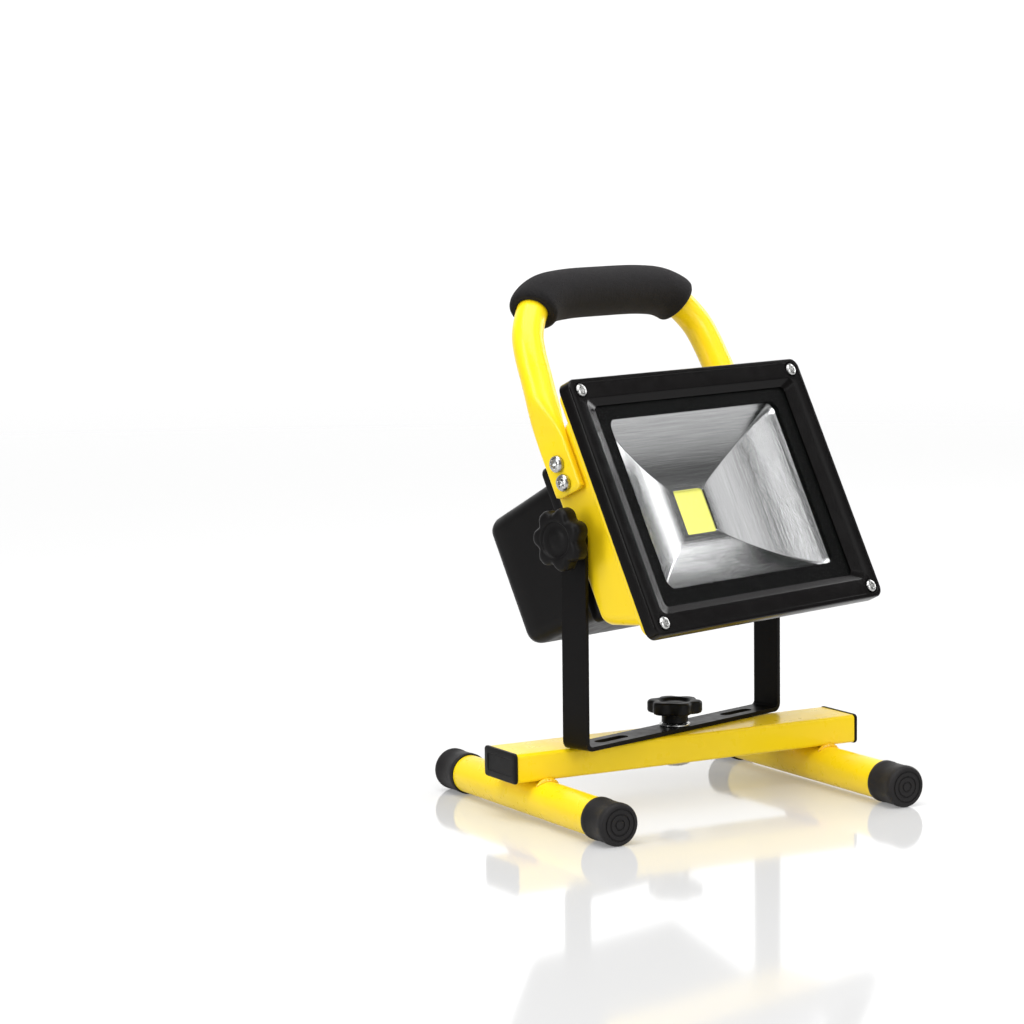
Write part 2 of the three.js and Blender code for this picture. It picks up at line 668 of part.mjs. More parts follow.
function addGrip() {
  let from = 0;
  while (handleCurve.getPointAt(from).y < GRIP_END_HEIGHT) from += 0.002;
  const rings = (radius, start, stations) => {
    const outlines = [];
    for (let station = 0; station <= stations; station += 1) {
      const at = THREE.MathUtils.lerp(start, 1 - start, station / stations);
      outlines.push(sectionRing(at, radius, radius, 2, 12));
    }
    return outlines;
  };
  const sleeve = skin(rings(GRIP_DIAMETER / 2, from, 14));
  const bore = skin(rings(HANDLE_DIAMETER / 2 + 2 * CLEARANCE, from - 0.02, 20));
  place(lampHead, 'foam_grip', cut(sleeve, bore), blackFoam);
}

// ---------------------------------------------------------------- tilt knobs

function addTiltKnobs() {
  const armFace = BRACKET_WIDTH / 2 + CLEARANCE;
  const knobBase = armFace + washerThickness + CLEARANCE;
  const shape = knob(TILT_KNOB, STUD_DIAMETER / 2 + CLEARANCE);
  const washer = ring(7, STUD_HOLE_DIAMETER / 2, 0, washerThickness);
  const studTip = STUD_TIP - knobBase;
  const stud = turned([
    [0, studTip],
    [STUD_DIAMETER / 2 - 0.7, studTip],
    [STUD_DIAMETER / 2, studTip + 0.7],
    [STUD_DIAMETER / 2, 8.6],
    [0, 8.6],
  ], 12);
  for (const [sideName, side] of bothSides) {
    const pieces = [
      [`tilt_washer_${sideName}`, washer, zincSteel, armFace],
      [`tilt_knob_${sideName}`, shape, blackPlastic, knobBase],
      [`tilt_stud_${sideName}`, stud, zincSteel, knobBase],
    ];
    for (const [name, geometry, material, distance] of pieces) {
      const mesh = place(lampHead, name, geometry, material);
      mesh.position.x = side * distance;
      mesh.rotation.y = (side * Math.PI) / 2;
    }
  }
}

// ---------------------------------------------------------------- battery pack

function addBatteryPlate() {
  const plate = slab([70.5, 41.4], 4, -1, PLATE_REAR, PLATE_FRONT);
  const holes = BOX_SCREWS.map(([x, y]) => rod(2, PLATE_REAR - 1, PLATE_FRONT + 1, x, y));
  const leadHole = rod(3, PLATE_REAR - 1, PLATE_FRONT + 1, ...LEAD_HOLE);
  place(lampHead, 'battery_plate', cut(plate, leadHole, ...holes), blackPlastic);
}

function addBatteryBox() {
  const shape = (inset, frontExtra, rearInset) => {
    const rear = BOX_REAR + rearInset;
    const width = BOX_HALF_WIDTH - inset;
    return taper([
      { z: rear, half: [width - 5.5, 30.5 - inset], radius: 5, rise: -1 },
      { z: rear + 1.5, half: [width - 3, 33 - inset], radius: 6.5, rise: -1 },
      { z: rear + 5, half: [width - 1.5, 34.5 - inset], radius: 8, rise: -0.9 },
      { z: BOX_FRONT + frontExtra, half: [width, 37.3 - inset], radius: 8, rise: -0.6 },
    ]);
  };
  const hollow = shape(BOX_WALL, 1, BOX_WALL);
  const posts = BOX_SCREWS.map(([x, y]) => rod(5.4, BOX_REAR + 1, BOX_FRONT - CLEARANCE, x, y, 12));
  const body = join(cut(shape(0, 0, 0), hollow), ...posts);
  const screwHoles = BOX_SCREWS.map(([x, y]) => rod(2, BOX_REAR, BOX_FRONT + 1, x, y));
  const counterbores = BOX_SCREWS.map(([x, y]) => rod(4.1, BOX_REAR - 2, BOX_REAR + 3.4, x, y, 12));
  const switchHole = rod(9.3, BOX_REAR - 1, BOX_REAR + 8, ...SWITCH_CENTRE);
  const socketHole = rod(4.5, BOX_REAR - 1, BOX_REAR + 4, ...SOCKET_CENTRE);
  const indicatorHole = rod(2.8, BOX_REAR - 1, BOX_REAR + 4, ...INDICATOR_CENTRE);
  const finished = cut(body, ...screwHoles, ...counterbores, switchHole, socketHole, indicatorHole);
  place(lampHead, 'battery_box', finished, blackPlastic);
}

function addCells() {
  const radius = CELL_DIAMETER / 2;
  const half = CELL_LENGTH / 2;
  const seats = CELL_LAYERS.flatMap((z) => CELL_ROWS.map((y) => [y, z]));
  const cell = turned([
    [0, -half],
    [radius, -half],
    [radius, half - 1],
    [3, half - 1],
    [3, half],
    [0, half],
  ], 14);
  seats.forEach(([y, z], index) => {
    const mesh = place(lampHead, `battery_cell_${index + 1}`, cell, cellSleeve);
    mesh.position.set(0, y, z);
    mesh.rotation.y = Math.PI / 2;
  });
  const margin = radius + 1;
  const yRange = [CELL_ROWS[0] - margin, CELL_ROWS.at(-1) + margin];
  const zRange = [CELL_LAYERS[1] - margin, CELL_LAYERS[0] + margin];
  for (const [sideName, side] of bothSides) {
    const reach = [side * 24, side * 30].sort((a, b) => a - b);
    const holes = seats.map(([y, z]) => crossRod(radius + CLEARANCE, reach[0] - 1, reach[1] + 1, y, z, 14));
    place(lampHead, `cell_holder_${sideName}`, cut(box(reach, yRange, zRange), ...holes), blackPlastic);
  }
}

function addElectronics() {
  const boardNotch = rod(3, -16, -12, ...LEAD_HOLE);
  const board = cut(box([-34, 34], [-34, 18], [-14.7, -13.1]), boardNotch);
  place(lampHead, 'control_board', board, boardGreen);

  const [socketX, socketY] = SOCKET_CENTRE;
  const socketFace = BOX_REAR - 1.8;
  const socket = turned([
    [0, 1],
    [1, 1],
    [1, 9.5],
    [2.8, 9.5],
    [2.8, 0],
    [5.8, 0],
    [5.8, 1.5],
    [4.2, 1.5],
    [4.2, 12],
    [0, 12],
  ], 16);
  place(lampHead, 'charge_socket', socket, blackPlastic).position.set(socketX, socketY, socketFace);

  const lens = turned([[0, -0.4], [2.2, 0], [3.4, 0.8], [3.4, 1.5], [2.4, 1.5], [2.4, 8], [0, 8]], 14);
  const [lensX, lensY] = INDICATOR_CENTRE;
  place(lampHead, 'indicator_lens', lens, redPlastic).position.set(lensX, lensY, socketFace);
}

function addSwitch() {
  const [x, y] = SWITCH_CENTRE;
  const face = BOX_REAR - 2.3;
  const bore = SWITCH_BORE / 2;
  const frame = cut(
    join(rod(10.5, face, face + 2), rod(9, face + 1, face + 18)),
    rod(bore, face - 1, face + 10),
  );
  place(lampHead, 'switch_frame', frame, blackPlastic).position.set(x, y, 0);

  const rockerRadius = bore - 0.8;
  const profile = new THREE.Shape([
    [-rockerRadius - 1, -2.4],
    [rockerRadius + 1, -2.4],
    [rockerRadius + 1, 0],
    [2, 3],
    [-2, 3],
    [-rockerRadius - 1, 0],
  ].map(([py, pz]) => new THREE.Vector2(py, pz)));
  const valley = new THREE.Shape([
    new THREE.Vector2(-rockerRadius - 2, -2.6),
    new THREE.Vector2(rockerRadius + 2, -2.6),
    new THREE.Vector2(0, -1.2),
  ]);
  const upright = (shape, half) => prism(shape, -half, half)
    .rotateY(Math.PI / 2)
    .rotateX(Math.PI / 2);
  const rocker = cut(common(upright(profile, 12), rod(rockerRadius, -6, 6)), upright(valley, 13));
  const mesh = place(lampHead, 'switch_rocker', rocker, redPlastic);
  mesh.position.set(x, y, face + 2.6);
  mesh.rotation.x = ROCKER_ANGLE;
}

function addLead() {
  const [x, y] = LEAD_HOLE;
  const route = new THREE.CatmullRomCurve3([
    new THREE.Vector3(x, y, -12.9),
    new THREE.Vector3(x, y, -4),
    new THREE.Vector3(x, y, 6),
    new THREE.Vector3(x, y + 0.8, 12),
    new THREE.Vector3(x, y + 4, 15),
    new THREE.Vector3(x, y + 11, 15.6),
  ]);
  const section = new THREE.Shape().absarc(0, 0, 1.5, 0, Math.PI * 2, false);
  const lead = new THREE.ExtrudeGeometry(section, {
    steps: 9,
    extrudePath: route,
    curveSegments: 6,
    bevelEnabled: false,
  });
  place(lampHead, 'led_lead', lead, blackRubber);
  const grommet = ring(5, 2.2, HOUSING_REAR + 0.6, -0.3);
  place(lampHead, 'lead_grommet', grommet, blackRubber).position.set(x, y, 0);
}

addCrossBar();
addBarEndPlug('bar_end_plug_left', -1);
addBarEndPlug('bar_end_plug_right', 1);
bothSides.forEach(([name, side]) => addFoot(name, side));
addSwivelBolt(swivelKnobBase + 8);
addBracket();
addSwivelKnob();
addHousing();
addBezel();
addGlass();
addReflector();
addEmitter();
addScrews();
addHandle();
addGrip();
addTiltKnobs();
addBatteryPlate();
addBatteryBox();
addCells();
addElectronics();
addSwitch();
addLead();

export default workLight;
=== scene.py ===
import json
import math

import bmesh
import bpy
from mathutils import Matrix, Vector


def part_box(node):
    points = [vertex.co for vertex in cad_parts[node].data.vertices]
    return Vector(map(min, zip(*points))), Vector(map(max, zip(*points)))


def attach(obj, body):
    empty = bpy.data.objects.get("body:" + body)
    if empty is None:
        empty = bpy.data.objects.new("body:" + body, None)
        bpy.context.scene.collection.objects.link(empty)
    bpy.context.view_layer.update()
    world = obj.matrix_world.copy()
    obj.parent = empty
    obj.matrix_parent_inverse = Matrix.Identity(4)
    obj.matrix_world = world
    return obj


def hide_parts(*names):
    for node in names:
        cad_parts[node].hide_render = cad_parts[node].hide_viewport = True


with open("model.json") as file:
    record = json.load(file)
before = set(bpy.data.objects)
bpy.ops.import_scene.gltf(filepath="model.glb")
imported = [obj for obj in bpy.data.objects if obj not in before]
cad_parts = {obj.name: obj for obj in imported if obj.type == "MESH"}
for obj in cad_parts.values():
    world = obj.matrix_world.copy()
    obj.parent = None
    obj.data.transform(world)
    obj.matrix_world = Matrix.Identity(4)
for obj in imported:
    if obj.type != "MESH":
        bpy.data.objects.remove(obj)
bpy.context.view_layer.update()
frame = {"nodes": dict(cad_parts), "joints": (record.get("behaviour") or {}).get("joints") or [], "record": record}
scene = bpy.context.scene
nodes = frame["nodes"]
joints = {joint["name"]: joint for joint in frame["joints"]}

# ---------------------------------------------------------------- frames

TILT = math.radians(25.5)
pivot = Vector(joints["lamp_tilt"]["pos_m"])
lamp_x = -Vector(joints["lamp_tilt"]["axis"]).normalized()
SWIVEL = math.atan2(lamp_x.y, lamp_x.x)
ROW = Matrix.Identity(4)
BRACKET = Matrix.Rotation(SWIVEL, 4, "Z")
LAMP = Matrix.Translation(pivot) @ BRACKET @ Matrix.Rotation(math.pi / 2 - TILT, 4, "X")
SIDES = (("left", -1), ("right", 1))


def middle(node):
    low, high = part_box(node)
    return (low + high) / 2


def millimetre_box(node):
    """The lowest and the highest corner of a CAD node."""
    return [Vector(corner) * 1000 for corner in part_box(node)]


def turn(degrees, axis):
    return Matrix.Rotation(math.radians(degrees), 4, axis)


def at(x, y, z):
    """A move by millimetres."""
    return Matrix.Translation(Vector((x, y, z)) / 1000)


# ---------------------------------------------------------------- camera and light

# Solved from the photo: yaw, pitch and roll in degrees, place in metres, lens and sensor in millimetres.
CAMERA_TURN = (29.388, -6.679, -0.663)
CAMERA_PLACE = (-0.88705, -1.40674, 0.34394)
CAMERA_LENS = 115.05
CAMERA_SENSOR = 36

# The studio is bright ahead of the camera and dim beside and behind it. These are the cosines of the angle
# to the camera's level direction between which it brightens, and the brightness at each.
STUDIO_FACING = (0.3, 0.95)
STUDIO_BRIGHTNESS = (0.16, 1.16)

# Area lights, all turned to one point: name, place, size and power.
LIGHT_TARGET = (0, 0, 0.14)
LIGHTS = (
    ("key_top", (-0.25, -0.3, 1.5), (1.8, 1.4), 31),
    ("key_left", (-1.7, -0.25, 0.75), (0.5, 1.3), 14),
    ("fill_front", (0.1, -1.9, 0.7), (0.9, 0.9), 11),
    ("rim_right", (1.35, 0.3, 0.6), (0.5, 1.0), 6.5),
    ("streak_right", (0.68, -1.45, 1.32), (0.08, 1.2), 1.5),
    ("soft_right", (1.3, -1.0, 1.15), (0.9, 0.9), 2.6),
)


def add_camera():
    """Adds the photo's camera and returns its direction."""
    yaw, pitch, roll = (math.radians(angle) for angle in CAMERA_TURN)
    flat = math.cos(pitch)
    forward = Vector((math.sin(yaw) * flat, math.cos(yaw) * flat, math.sin(pitch)))
    level = Vector((math.cos(yaw), -math.sin(yaw), 0))
    upright = level.cross(forward)
    right = level * math.cos(roll) + upright * math.sin(roll)
    up = upright * math.cos(roll) - level * math.sin(roll)
    data = bpy.data.cameras.new("camera")
    data.sensor_width = CAMERA_SENSOR
    data.lens = CAMERA_LENS
    data.clip_start, data.clip_end = 0.05, 60
    camera = bpy.data.objects.new("camera", data)
    axes = Matrix((right, up, -forward)).transposed().to_4x4()
    camera.matrix_world = Matrix.Translation(CAMERA_PLACE) @ axes
    scene.collection.objects.link(camera)
    scene.camera = camera
    return forward


def add_area(name, place, size, power):
    data = bpy.data.lights.new(name, "AREA")
    data.shape = "RECTANGLE"
    data.size, data.size_y = size
    data.energy = power
    light = bpy.data.objects.new(name, data)
    light.location = place
    light.rotation_euler = (Vector(LIGHT_TARGET) - Vector(place)).to_track_quat("-Z", "Y").to_euler()
    scene.collection.objects.link(light)


def add_world(forward):
    world = bpy.data.worlds.new("studio")
    scene.world = world
    world.use_nodes = True
    tree = world.node_tree
    background = tree.nodes["Background"]
    direction = tree.nodes.new("ShaderNodeTexCoord")
    facing = tree.nodes.new("ShaderNodeVectorMath")
    facing.operation = "DOT_PRODUCT"
    facing.inputs[1].default_value = Vector((forward.x, forward.y, 0)).normalized()
    ramp = tree.nodes.new("ShaderNodeMapRange")
    ramp.interpolation_type = "SMOOTHSTEP"
    limits = zip(("From Min", "From Max", "To Min", "To Max"), (*STUDIO_FACING, *STUDIO_BRIGHTNESS))
    for socket, value in limits:
        ramp.inputs[socket].default_value = value
    tree.links.new(direction.outputs["Generated"], facing.inputs[0])
    tree.links.new(facing.outputs["Value"], ramp.inputs["Value"])
    tree.links.new(ramp.outputs["Result"], background.inputs["Strength"])
    background.inputs["Color"].default_value = (1, 1, 1, 1)


add_world(add_camera())
scene.view_settings.view_transform = "Standard"
for light_name, light_place, light_size, light_power in LIGHTS:
    add_area(light_name, light_place, light_size, light_power)

# ---------------------------------------------------------------- materials


def principled(name, color, roughness, metallic=0.0):
    made = bpy.data.materials.new(name)
    made.use_nodes = True
    shader = made.node_tree.nodes["Principled BSDF"]
    shader.inputs["Base Color"].default_value = (*color, 1)
    shader.inputs["Roughness"].default_value = roughness
    shader.inputs["Metallic"].default_value = metallic
    return made, shader


NOISE_LOW, NOISE_HIGH = 0.3, 0.7  # most of a noise texture's values lie between these


def noise(tree, scale, detail, stretch=None, coordinate="Object"):
    """A noise texture in the piece's own space or its UV space, optionally stretched along an axis."""
    source = tree.nodes.new("ShaderNodeTexCoord").outputs[coordinate]
    if stretch:
        mapping = tree.nodes.new("ShaderNodeMapping")
        mapping.inputs["Scale"].default_value = stretch
        tree.links.new(source, mapping.inputs["Vector"])
        source = mapping.outputs["Vector"]
    texture = tree.nodes.new("ShaderNodeTexNoise")
    texture.inputs["Scale"].default_value = scale
    texture.inputs["Detail"].default_value = detail
    tree.links.new(source, texture.inputs["Vector"])
    return texture.outputs["Fac"]


def ranged(tree, value, low, high):
    node = tree.nodes.new("ShaderNodeMapRange")
    node.inputs["From Min"].default_value = NOISE_LOW
    node.inputs["From Max"].default_value = NOISE_HIGH
    node.inputs["To Min"].default_value = low
    node.inputs["To Max"].default_value = high
    tree.links.new(value, node.inputs["Value"])
    return node.outputs["Result"]


def two_tone(tree, value, first, second):
    node = tree.nodes.new("ShaderNodeValToRGB")
    ends = zip(node.color_ramp.elements, (NOISE_LOW, NOISE_HIGH), (first, second))
    for element, position, color in ends:
        element.position = position
        element.color = (*color, 1)
    tree.links.new(value, node.inputs["Fac"])
    return node.outputs["Color"]


def bumped(tree, shader, value, distance, strength=1.0, below=None):
    node = tree.nodes.new("ShaderNodeBump")
    node.inputs["Strength"].default_value = strength
    node.inputs["Distance"].default_value = distance
    tree.links.new(value, node.inputs["Height"])
    if below:
        tree.links.new(below, node.inputs["Normal"])
    tree.links.new(node.outputs["Normal"], shader.inputs["Normal"])
    return node.outputs["Normal"]


def paint(name, light, dark, roughness, grain, depth, coat, specular):
    """A sprayed or moulded finish: slow colour drift, uneven gloss and a fine surface grain."""
    made, shader = principled(name, light, roughness)
    tree = made.node_tree
    shader.inputs["Specular IOR Level"].default_value = specular
    shader.inputs["Coat Weight"].default_value = coat
    shader.inputs["Coat Roughness"].default_value = 0.08
    drift = noise(tree, 28, 4)
    tree.links.new(two_tone(tree, drift, dark, light), shader.inputs["Base Color"])
    gloss = ranged(tree, noise(tree, 160, 4), roughness * 0.85, roughness * 1.18)
    tree.links.new(gloss, shader.inputs["Roughness"])
    bumped(tree, shader, noise(tree, grain, 2), depth)
    return made


def bare_metal(name, light, dark, roughness, stretch, scale, depth, coordinate):
    """Metal with fine lines along one direction."""
    made, shader = principled(name, light, roughness, 1.0)
    tree = made.node_tree
    lines = noise(tree, scale, 5, stretch, coordinate)
    tree.links.new(two_tone(tree, lines, dark, light), shader.inputs["Base Color"])
    tree.links.new(ranged(tree, lines, roughness * 0.75, roughness * 1.3), shader.inputs["Roughness"])
    bumped(tree, shader, lines, depth)
    return made


def foam(name):
    made, shader = principled(name, (0.006, 0.0055, 0.006), 0.95)
    tree = made.node_tree
    shader.inputs["Specular IOR Level"].default_value = 0.2
    shader.inputs["Sheen Weight"].default_value = 0.1
    shader.inputs["Sheen Roughness"].default_value = 0.55
    shader.inputs["Sheen Tint"].default_value = (0.5, 0.48, 0.5, 1)
    cells = tree.nodes.new("ShaderNodeTexVoronoi")
    cells.inputs["Scale"].default_value = 1500
    tree.links.new(tree.nodes.new("ShaderNodeTexCoord").outputs["Object"], cells.inputs["Vector"])
    speck = noise(tree, 900, 3)
    mottle = two_tone(tree, speck, (0.004, 0.0037, 0.004), (0.011, 0.010, 0.0105))
    tree.links.new(mottle, shader.inputs["Base Color"])
    soft = bumped(tree, shader, noise(tree, 70, 3), 0.0006, 0.6)
    bumped(tree, shader, cells.outputs["Distance"], 0.00035, 0.9, soft)
    return made


def glass(name):
    made, shader = principled(name, (0.03, 0.034, 0.033), 0.02)
    shader.inputs["IOR"].default_value = 1.5
    shader.inputs["Alpha"].default_value = 0.08
    return made


def phosphor(name):
    made, shader = principled(name, (0.98, 0.96, 0.2), 0.45)
    tree = made.node_tree
    grain = noise(tree, 1400, 3)
    tree.links.new(two_tone(tree, grain, (0.93, 0.92, 0.16), (1.0, 0.99, 0.25)), shader.inputs["Base Color"])
    # The emission is a painted glow: the chip is switched off, and this faint glow stands in for light falling on
    # the phosphor.
    shader.inputs["Emission Color"].default_value = (1.0, 0.98, 0.22, 1)
    shader.inputs["Emission Strength"].default_value = 0.35
    bumped(tree, shader, grain, 0.00005)
    return made


YELLOW = ((0.96, 0.70, 0.010), (0.945, 0.68, 0.009))
# Painted and moulded finishes: light tone, dark tone, roughness, grain scale, grain depth, coat and specular.
PAINTS = {
    "yellow_paint": (*YELLOW, 0.3, 700, 0.000005, 0.12, 0.3),
    "yellow_housing": (*YELLOW, 0.32, 520, 0.00001, 0.15, 0.35),
    "black_bezel": ((0.004, 0.0035, 0.0036), (0.0034, 0.003, 0.0031), 0.2, 900, 0.000002, 0, 0.14),
    "black_paint": ((0.0055, 0.005, 0.0052), (0.0045, 0.0042, 0.0043), 0.36, 800, 0.00002, 0, 0.1),
    "black_plastic": ((0.0065, 0.006, 0.0062), (0.005, 0.0047, 0.0048), 0.4, 1500, 0.00005, 0, 0.12),
    "black_rubber": ((0.016, 0.0148, 0.0152), (0.012, 0.0112, 0.0116), 0.55, 1100, 0.00006, 0, 0.2),
    "glass_print": ((0.002, 0.002, 0.002), (0.0018, 0.0018, 0.0018), 0.22, 900, 0, 0, 0.1),
    "board_metal": ((0.86, 0.86, 0.83), (0.8, 0.8, 0.77), 0.4, 900, 0.00004, 0, 0.5),
    "board_green": ((0.02, 0.14, 0.05), (0.015, 0.1, 0.035), 0.35, 900, 0.00005, 0.3, 0.5),
    "cell_sleeve": ((0.03, 0.12, 0.4), (0.02, 0.09, 0.33), 0.3, 600, 0.00005, 0.2, 0.5),
    "red_plastic": ((0.5, 0.016, 0.012), (0.4, 0.012, 0.01), 0.25, 1100, 0.00005, 0.3, 0.5),
    "grey_silicone": ((0.19, 0.19, 0.2), (0.15, 0.15, 0.16), 0.7, 1000, 0.0001, 0, 0.5),
    "weld_metal": ((0.93, 0.56, 0.006), (0.85, 0.48, 0.005), 0.36, 900, 0.0002, 0.4, 0.5),
}
# Metals: light tone, dark tone, roughness, stretch of the lines, their scale and depth, and the coordinates.
METALS = {
    "zinc_steel": ((0.56, 0.56, 0.55), (0.42, 0.42, 0.415), 0.26, (1, 1, 6), 500, 0.00002, "Object"),
    "brushed_reflector": ((0.76, 0.765, 0.77), (0.6, 0.605, 0.61), 0.17, (0.5, 30, 1), 6, 0.00004, "UV"),
}
MATERIALS = {finish: paint(finish, *look) for finish, look in PAINTS.items()}
MATERIALS.update({finish: bare_metal(finish, *look) for finish, look in METALS.items()})
MATERIALS["black_foam"] = foam("black_foam")
MATERIALS["clear_glass"] = glass("clear_glass")
MATERIALS["phosphor"] = phosphor("phosphor")

for entry in frame["record"]["subparts"]:
    carried = nodes[entry["node"]]
    carried.data.materials.clear()
    carried.data.materials.append(MATERIALS[entry["material_slot"]])

# ---------------------------------------------------------------- mesh helpers


def make(name, verts, faces, matrix, finish):
    """A new object from millimetre points, put in place by the matrix and cleaned."""
    mesh = bpy.data.meshes.new(name)
    mesh.from_pydata([matrix @ (Vector(v) / 1000) for v in verts], [], faces)
    mesh.materials.append(MATERIALS[finish])
    thing = bpy.data.objects.new(name, mesh)
    scene.collection.objects.link(thing)
    tidy(thing)
    return thing


def tidy(thing):
    shape = bmesh.new()
    shape.from_mesh(thing.data)
    bmesh.ops.remove_doubles(shape, verts=shape.verts, dist=1e-6)
    bmesh.ops.dissolve_degenerate(shape, edges=shape.edges, dist=1e-7)
    bmesh.ops.recalc_face_normals(shape, faces=shape.faces)
    shape.to_mesh(thing.data)
    shape.free()


def smooth(thing, angle=32):
    thing.data.polygons.foreach_set("use_smooth", [True] * len(thing.data.polygons))
    thing.data.set_sharp_from_angle(angle=math.radians(angle))
    return thing


def rounded(thing, width):
    """Small radii on the sharp edges, so that they catch the light."""
    angle = 35
    smooth(thing, angle)
    bevel = thing.modifiers.new("radii", "BEVEL")
    bevel.width = width / 1000
    bevel.segments = 2
    bevel.limit_method = "ANGLE"
    bevel.angle_limit = math.radians(angle)
    bevel.harden_normals = True


def combine(thing, operation, tool):
    """Boolean of thing with the tool, which is used up."""
    step = thing.modifiers.new("cut", "BOOLEAN")
    step.operation = operation
    step.solver = "EXACT"
    step.object = tool
    bpy.context.view_layer.update()
    evaluated = thing.evaluated_get(bpy.context.evaluated_depsgraph_get())
    result = bpy.data.meshes.new_from_object(evaluated)
    thing.modifiers.clear()
    thing.data = result
    bpy.data.objects.remove(tool)


def put(thing, body, *replaced, slot):
    """The piece rides on a body and stands for these CAD nodes; the slot argument is not used."""
    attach(thing, body)
    if replaced:
        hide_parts(*replaced)


def stacked(rings, loop=False):
    """Vertices and faces of a stack of equal closed rings, capped at both ends unless it closes on itself."""
    count = len(rings[0])
    verts = [point for ring in rings for point in ring]
    faces = []
    for level in range(len(rings) if loop else len(rings) - 1):
        here, above = level * count, (level + 1) % len(rings) * count
        for side in range(count):
            after = (side + 1) % count
            faces.append((here + side, here + after, above + after, above + side))
    if not loop:
        faces.append(tuple(reversed(range(count))))
        faces.append(tuple(range((len(rings) - 1) * count, len(rings) * count)))
    return verts, faces


def circle(radius, z, steps, x=0.0, y=0.0):
    return [
        (x + radius * math.cos(math.tau * i / steps), y + radius * math.sin(math.tau * i / steps), z)
        for i in range(steps)
    ]


def turned(name, profile, matrix, finish, steps, loop=False):
    """A piece turned about z from (radius, z) points."""
    rings = [circle(max(radius, 1e-4), z, steps) for radius, z in profile]
    return make(name, *stacked(rings, loop=loop), matrix, finish)


def rectangle(half, z, radius, rise=0.0, steps=6):
    """A rounded rectangle's outline, as points at height z."""
    points = []
    for quarter, (sx, sy) in enumerate(((1, 1), (-1, 1), (-1, -1), (1, -1))):
        for step in range(steps + 1):
            angle = (quarter + step / steps) * math.pi / 2
            points.append((
                sx * (half[0] - radius) + radius * math.cos(angle),
                rise + sy * (half[1] - radius) + radius * math.sin(angle),
                z,
            ))
    return points


def outlines(levels, rise, steps=8):
    """A rounded rectangle for each (half sizes, corner radius, z)."""
    return [rectangle(half, z, radius, rise, steps) for half, radius, z in levels]


def arc(centre, radius, start, end, steps):
    """Profile points on an arc, with angles in degrees."""
    angles = [math.radians(start + (end - start) * i / steps) for i in range(steps + 1)]
    return [(centre[0] + radius * math.cos(a), centre[1] + radius * math.sin(a)) for a in angles]


# ---------------------------------------------------------------- stand

# The foot tubes' distance from the middle and outside radius, then the weld beads on them.
FOOT_X = 85.0
FOOT_RADIUS = 9.8
WELD_LENGTH, WELD_SIZE = 12.5, 1.7
WELD_OUT, WELD_HEIGHT = 15.55, 20.75
WELD_STEPS, WELD_SIDES = 28, 16
WELD_NAMES = {(-1, -1): "left_front", (-1, 1): "left_rear", (1, -1): "right_front", (1, 1): "right_rear"}


def add_cross_bar():
    low, high = millimetre_box("cross_bar")
    half = ((high.y - low.y) / 2, (high.z - low.z) / 2)
    centre = (low.z + high.z) / 2
    rings = []
    for inset, x in ((1.2, 4), (1.2, 0.1), (0, 0)):
        outline = rectangle((half[0] - inset, half[1] - inset), 0, 2, centre)
        rings.append([(x + low.x, p[0], p[1]) for p in outline])
    rings += [[(-x, y, z) for x, y, z in ring] for ring in reversed(rings)]
    bar = smooth(make("cross_bar_tube", *stacked(rings), ROW, "yellow_paint"))
    put(bar, "stand", "cross_bar", slot="yellow_paint")


def add_bar_plug(side_name, side):
    low, high = millimetre_box(f"bar_end_plug_{side_name}")
    outer = high.x if side > 0 else -low.x
    half = ((high.y - low.y) / 2, (high.z - low.z) / 2)
    centre = (low.z + high.z) / 2
    levels = [
        (outer - 1.5, 1.9, 1.2), (outer - 1.5, 0, 2), (outer - 0.5, 0, 2), (outer - 0.15, 0.15, 2),
        (outer, 0.5, 2), (outer, 3.2, 1.4), (outer - 0.35, 3.5, 1.2), (outer - 0.35, 5.5, 1),
    ]
    rings = [
        [(x, p[0], p[1]) for p in rectangle((half[0] - inset, half[1] - inset), 0, radius, centre)]
        for x, inset, radius in levels
    ]
    matrix = ROW if side > 0 else turn(180, "Z")
    plug = smooth(make(f"bar_plug_{side_name}", *stacked(rings), matrix, "black_plastic"))
    put(plug, "stand", f"bar_end_plug_{side_name}", slot="black_plastic")


def add_foot_tube(side_name):
    node = f"foot_tube_{side_name}"
    low, high = millimetre_box(node)
    centre = middle(node)
    radius, half = (high.x - low.x) / 2, (high.y - low.y) / 2
    profile = [
        (radius - 1.5, -half), (radius - 0.3, -half), (radius, -half + 0.3), (radius, -40), (radius, 0),
        (radius, 40), (radius, half - 0.3), (radius - 0.3, half), (radius - 1.5, half),
    ]
    matrix = Matrix.Translation(centre) @ turn(90, "X")
    tube = smooth(turned(f"foot_pipe_{side_name}", profile, matrix, "yellow_paint", 72, loop=True))
    put(tube, "stand", node, slot="yellow_paint")


def add_foot_cap(end_name, side_name):
    node = f"foot_cap_{end_name}_{side_name}"
    low, high = millimetre_box(node)
    centre = middle(node)
    radius, length = (high.x - low.x) / 2, high.y - low.y
    inner = radius - 0.7
    profile = [
        (inner, -length), (radius - 0.25, -length), (radius, -length + 0.25), (radius, -length + 3),
        (radius - 0.25, -length + 3.4), (radius - 0.25, -4.4), (radius, -4), (radius, -1.9),
        *arc((radius - 1.9, -1.9), 1.9, 8, 90, 7),
        (8.3, 0), (8.15, -0.5), (7.5, -0.5), (7.35, 0),
        (5.7, -0.05), (5.5, -0.55), (4.9, -0.55), (4.7, -0.05),
        (2.9, -0.1), (2.7, -0.6), (2.1, -0.6), (1.9, -0.15), (0, -0.1),
    ]
    matrix = Matrix.Translation((centre.x, (high.y if end_name == "rear" else low.y) / 1000, centre.z))
    matrix = matrix @ turn(-90 if end_name == "rear" else 90, "X")
    cap = smooth(turned(f"cap_{end_name}_{side_name}", profile, matrix, "black_rubber", 72), 50)
    put(cap, "stand", node, slot="black_rubber")


